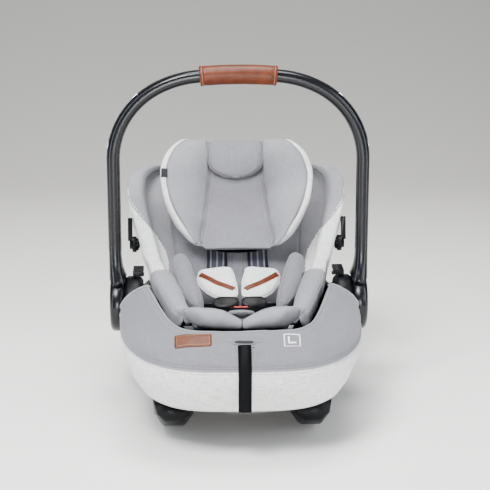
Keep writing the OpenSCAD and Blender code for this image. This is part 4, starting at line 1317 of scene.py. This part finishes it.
Pp = cushion_rows(HD)
Pp = domed(Pp, 3.5, 6, channel_mid)
Np_ = normals(Pp)
half = Pp.shape[1] // 2
if np.sum((Np_ * (S(0, 124, 60) - Pp))[:, half + 20:half + 70]) < 0:
    Np_ = -Np_
uu = (Pp[..., 1] - 40) * BC + (Pp[..., 2] - 247) * BS_
xs = panel_x(uu)
front = np.zeros(Pp.shape[:2], bool)
front[:, half:] = True
dist = np.abs(Pp[..., 0]) - xs
w = 0.9 * vn(Pp, 34, 81) + 0.55 * vn(Pp, 13, 82) + 0.18 * vn(Pp, 6, 83)
g = (-3.4 * np.exp(-(np.abs(dist) / 3.2) ** 2) + pucker(uu, dist, 0.55, 10, 9)) * np.clip((uu - 9) / 16, 0, 1)
bol = np.clip(dist / 60, 0, 1)
bulge = 0.8 * np.sin(bol * math.pi) ** 2 * np.clip((uu - 18) / 40, 0, 1) * np.clip((238 - uu) / 60, 0, 1)
w = w + np.where(front, g + bulge, 0)
# drag lines fanning out of the panel seams
w = w + np.where(front & (dist > 0), 0.5 * np.sin(uu / 7.5 + 2.5 * vn(Pp, 40, 84)) * np.exp(-np.abs(dist) / 22), 0)
Pq = Pp + Np_ * w[..., None]
pick = ((np.abs(Pp[..., 0]) > xs) | ~front)[:-1, :].astype(int)
o = grid("headrest_cushion", Pq, "grey", True, True, ["grey", "light"], pick)
place(o, "headrest", "grey", ("headrest_pad",), 0.75)
# seams of the centre panel and the border line
head_bvh = bvh_of([o])
for sg in (-1, 1):
    ln, nn = [], []
    for u in np.arange(20, 230, 3.0):
        x = sg * panel_x(u)
        p, q = hit(head_bvh, S(x, u, 110), -HN)
        if p is not None:
            ln.append(p)
            nn.append(q)
    tag = "left" if sg < 0 else "right"
    tube("headrest_panel_piping_" + tag, [p + q * 0.5 for p, q in zip(ln[::2], nn[::2])], 1.1, "grey", "headrest", 8)
    ln2, nn2 = [], []
    for u in np.arange(20, 230, 3.0):
        x = sg * (panel_x(u) - 4.5)
        p, q = hit(head_bvh, S(x, u, 110), -HN)
        if p is not None:
            ln2.append(p)
            nn2.append(q)
    stitches("headrest_panel_stitches_" + tag, [(ln2, nn2)], "thread", "headrest", 4.4, 3.0, 0.32)
for tag, j0 in (("left", half - 1), ("right", 0)):
    tube("headrest_rim_piping_" + tag, [Pq[i, j0] + HN * 0.3 for i in range(11, len(Pq) - 8, 3)], 1.2, "grey", "headrest", 8)

rings = []
for q in ((153, 9, 3), (156, 20, 5), (161, 31, 6.6), (168, 40, 7.6), (177, 46.5, 8), (190, 49, 8), (208, 50, 7.6), (224, 50, 6.4), (232, 49, 4)):
    rings.append(ring(S(0, q[0], 1.6), np.array([1.0, 0, 0]), HN, q[1], q[2], 2.8, 72))
pil, PQ, PN = soft_loft("neck_pillow", rings, "grey", "headrest", ("headrest_pillow",), 0.7, 2.0, 8, [(0, 0.8), (36, 0.8)], 0.8, 91)
pil_bvh = bvh_of([pil])
lines = []
for x in (-6.5, 6.5):
    ln, nn = [], []
    for u in np.arange(164, 230, 2.5):
        p, q = hit(pil_bvh, S(x, u, 60), -HN)
        if p is not None:
            ln.append(p)
            nn.append(q)
    lines.append((ln, nn))
stitches("neck_pillow_quilting", lines, "thread", "headrest", 4.0, 2.8, 0.34)
# plain sewn-in tag folded over the left edge
tag_bvh = bvh_of([bpy.data.objects["headrest_border_cloth"], bpy.data.objects["headrest_cushion"]])
C = np.zeros((9, 9, 3))
for a in range(9):
    for b in range(9):
        C[a, b] = S(-131.5 + 11.0 * b / 8, 122 + 20.0 * a / 8, 110)
try:
    patch("edge_tag", tag_bvh, C, -HN, "dark", "headrest", 0.3, 0.9)
except RuntimeError as e:
    print("NOTE", e)

# ---------------------------------------------------------------- harness
SP = [S(35, 118, -37), S(35, 60, -37), S(35.5, 0, -36.8), S(36.5, -16, -36.2), S(38, -30, -33.6)]
PADP = [[[40, 11, 220], 22, 3], [[40, 5, 220], 28, 6], [[39.5, -12, 214], 31.5, 7.5], [[36, -32, 207], 31, 7.5], [[30, -50, 200], 26, 7], [[24, -62, 196], 20, 5], [[19, -69, 194], 13, 2.5]]
PE, PF = unit([.97, .12, -.14]), unit([.1, -.34, .94])


def band_rows(pts, a, h, n=28, k=6, p=6):
    c = dense(np.array(pts, float), k, 0)
    T = np.gradient(c, axis=0)
    rows = []
    for i in range(len(c)):
        d = unit(T[i])
        e = unit(np.cross(d, np.cross([1.0, 0, 0], d)))
        rows.append(ring(c[i], e, np.cross(d, e), a, h, p, n))
    return np.array(rows), c, T


def harness(side, fix, sg):
    rows, c, T = band_rows(SP, 17.5, 1.0)
    o = grid("shoulder_webbing_" + side, fix(rows), "webg")
    place(o, "seat", "webg", ("shoulder_strap_" + side,))
    for q, x in enumerate((-11, 0, 11)):
        pts = [fix(np.array([p[0] + x, p[1], p[2]]) + HN * 1.05) for p in c]
        tube("shoulder_webbing_%s_stripe_%d" % (side, q), pts, 1.5, "stripe", "seat", 8, 0.25, False, 1, HN)
    rings = [ring(q[0], PE, PF, q[1], q[2], 2.6, 64) for q in PADP]
    o, Q, N = soft_loft("shoulder_cushion_" + side, rings, "white", "seat", ("shoulder_pad_" + side,), 0.7, 1.5, 8, [(0, 0.9), (32, 0.9)], 0.8, 101 + sg, fix)
    b = bvh_of([o])
    A, B = np.array([66, -4, 0]), np.array([9, -61, 0])
    C = np.zeros((30, 5, 3))
    dn = unit(B - A)
    side_v = np.array([-dn[1], dn[0], 0])
    for i in range(30):
        t = i / 29
        m = A + (B - A) * t + side_v * 5 * math.sin(t * math.pi)
        for j in range(5):
            q = m + side_v * (j - 2) * 2.3
            C[i, j] = [sg * q[0], q[1] - 12, 255]
    d = np.array([0, 0.28, -1.0])
    d /= np.linalg.norm(d)
    try:
        lp, top = patch("pad_leather_" + side, b, C, d, "leather", "seat", 0.1, 0.8)
        nn = [[0, -.3, .95]] * 30
        stitches("pad_leather_stitches_" + side, [(list(top[:, 0]), nn), (list(top[:, 4]), nn)], "tanthread", "seat", 3.4, 2.3, 0.3, 0.1)
    except RuntimeError as e:
        print("NOTE", e)
    tongue = [[3, -86, 191, 6], [10, -87, 191.5, 10], [24, -87, 191, 12], [36, -85, 190, 11.5], [43, -84, 189.4, 7]]
    rings = [ring(q[:3], unit([0, .8, .6]), unit([.05, -.6, .8]), q[3], 3.4, 3, 40) for q in tongue]
    P = domed(dense(np.array(rings), 6, 0), 1.0, 3)
    nonlocal_rings.append((side, fix(P)))
    rows, c, T = band_rows([[47.4, -83.2, 188.8], [50.6, -78, 187], [52, -71, 184], [53, -63, 180], [53, -56, 175]], 8, 1.0)
    lap_rows.append(fix(rows))


nonlocal_rings, lap_rows = [], []
both_sides(harness)
for (side, P), R in zip(nonlocal_rings, lap_rows):
    reps_t = ("buckle_tongues",) if side == "right" else ()
    reps_l = ("lap_straps",) if side == "right" else ()
    place(grid("tongue_" + side, P, "gloss"), "seat", "gloss", reps_t)
    place(grid("lap_webbing_" + side, R, "webg"), "seat", "webg", reps_l)
smooth_copy("buckle_body", "gloss", "seat", "buckle_case")
smooth_copy("buckle_button", "red", "buckle_button", "buckle_key")
rings = [ring([0, q[0], q[1]], np.array([1.0, 0, 0]), unit([0, -.3, 1]), q[2], q[3], 2.4, 56) for q in
         ((-129, 184, 13, 4), (-132, 185.5, 19, 6.5), (-140, 188, 22, 8), (-152, 191.5, 21, 8), (-163, 196, 16, 6), (-168, 198, 9, 3))]
soft_loft("crotch_cushion", rings, "grey", "seat", ("crotch_pad",), 0.7, 1.5, 8, [(0, 0.8), (28, 0.8)], 0.7, 121)

# ------------------------------------------------------------------- stage
def stage_mesh(name, verts, faces, colour, rough):
    me = bpy.data.meshes.new(name)
    me.from_pydata(verts, [], faces)
    m, nt, bs = material(name + "_mat", colour, rough)
    me.materials.append(m)
    me.polygons.foreach_set("use_smooth", [True] * len(me.polygons))
    o = bpy.data.objects.new(name, me)
    bpy.context.scene.collection.objects.link(o)
    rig.stage(o)
    return o


pr = [(-4.0, 0.0), (1.6, 0.0)] + [(1.6 + 1.2 * math.sin(rad(a)), 1.2 - 1.2 * math.cos(rad(a))) for a in range(5, 91, 5)] + [(2.8, 5.0)]
verts, faces = [], []
for y, z in pr:
    verts += [(-5, y, z), (5, y, z)]
for i in range(len(pr) - 1):
    faces.append((2 * i, 2 * i + 1, 2 * i + 3, 2 * i + 2))
floor = stage_mesh("studio_floor", verts, faces, (0.80, 0.785, 0.76), 0.75)
# painted shade: the floor and backdrop colour darkens from front to back and up the wall, standing in for the light's
# falloff
fm = floor.data.materials[0].node_tree
fc = fm.nodes.new("ShaderNodeTexCoord")
fx = fm.nodes.new("ShaderNodeSeparateXYZ")
fm.links.new(fc.outputs["Object"], fx.inputs["Vector"])
fr = fm.nodes.new("ShaderNodeMapRange")
fr.inputs["From Min"].default_value = 0.25
fr.inputs["From Max"].default_value = 2.7
fm.links.new(fx.outputs["Y"], fr.inputs["Value"])
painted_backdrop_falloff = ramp(fm, 0.0, 1.0, (0.82, 0.80, 0.775), (0.27, 0.27, 0.255))
fm.links.new(fr.outputs["Result"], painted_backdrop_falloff.inputs["Fac"])
fm.links.new(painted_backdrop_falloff.outputs["Color"], fm.nodes["Principled BSDF"].inputs["Base Color"])


def area(name, loc, look, size, power, colour=(1, 1, 1), sy=None):
    d = bpy.data.lights.new(name, "AREA")
    d.energy = power
    d.size = size
    d.color = colour
    if sy:
        d.shape = "RECTANGLE"
        d.size_y = sy
    o = bpy.data.objects.new(name, d)
    bpy.context.scene.collection.objects.link(o)
    o.location = loc
    o.rotation_euler = (Vector(look) - Vector(loc)).to_track_quat("-Z", "Y").to_euler()
    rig.stage(o)
    return o


area("key", (-0.85, -1.5, 2.7), (0, 0, 0.25), 1.0, 165)
area("fill", (1.7, -2.0, 1.2), (0, 0, 0.25), 1.0, 15)
area("front", (-0.1, -3.0, 0.5), (0, 0, 0.12), 0.8, 58)
area("top", (0.1, 0.1, 2.4), (0, 0, 0.2), 1.2, 80)
area("strip_left", (-1.15, -0.55, 0.7), (-0.2, 0, 0.4), 0.16, 13, (0.85, 0.92, 1.0), 1.4)
area("strip_right", (1.15, -0.55, 0.7), (0.2, 0, 0.4), 0.16, 13, (0.85, 0.92, 1.0), 1.4)
area("wall", (0, 1.2, 1.1), (0, 2.8, 0.35), 1.2, 5)
wd = bpy.data.worlds.new("studio")
wd.use_nodes = True
wd.node_tree.nodes["Background"].inputs["Color"].default_value = (0.80, 0.81, 0.83, 1)
wd.node_tree.nodes["Background"].inputs["Strength"].default_value = 0.05
bpy.context.scene.world = wd

AZ, EL, DIST = rad(-2), rad(15), 2.6
back = Vector((math.sin(AZ) * math.cos(EL), -math.cos(AZ) * math.cos(EL), math.sin(EL)))
T0 = Vector((0.011, 0, 0.2664))
cd = bpy.data.cameras.new("cam")
cd.sensor_width = 36
cd.sensor_fit = "HORIZONTAL"
cd.lens = 112.36
cam = bpy.data.objects.new("cam", cd)
bpy.context.scene.collection.objects.link(cam)
cam.location = T0 + back * DIST
cam.rotation_euler = (-back).to_track_quat("-Z", "Y").to_euler()
bpy.context.scene.camera = cam
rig.stage(cam)

BOX1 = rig.bounds()


def plain(b):
    return [[float(c) for c in v] for v in b]


with open("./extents.json", "w") as f:
    json.dump({"cad": plain(BOX0), "visual": plain(BOX1)}, f)
print("BOUNDS", plain(BOX0), plain(BOX1))
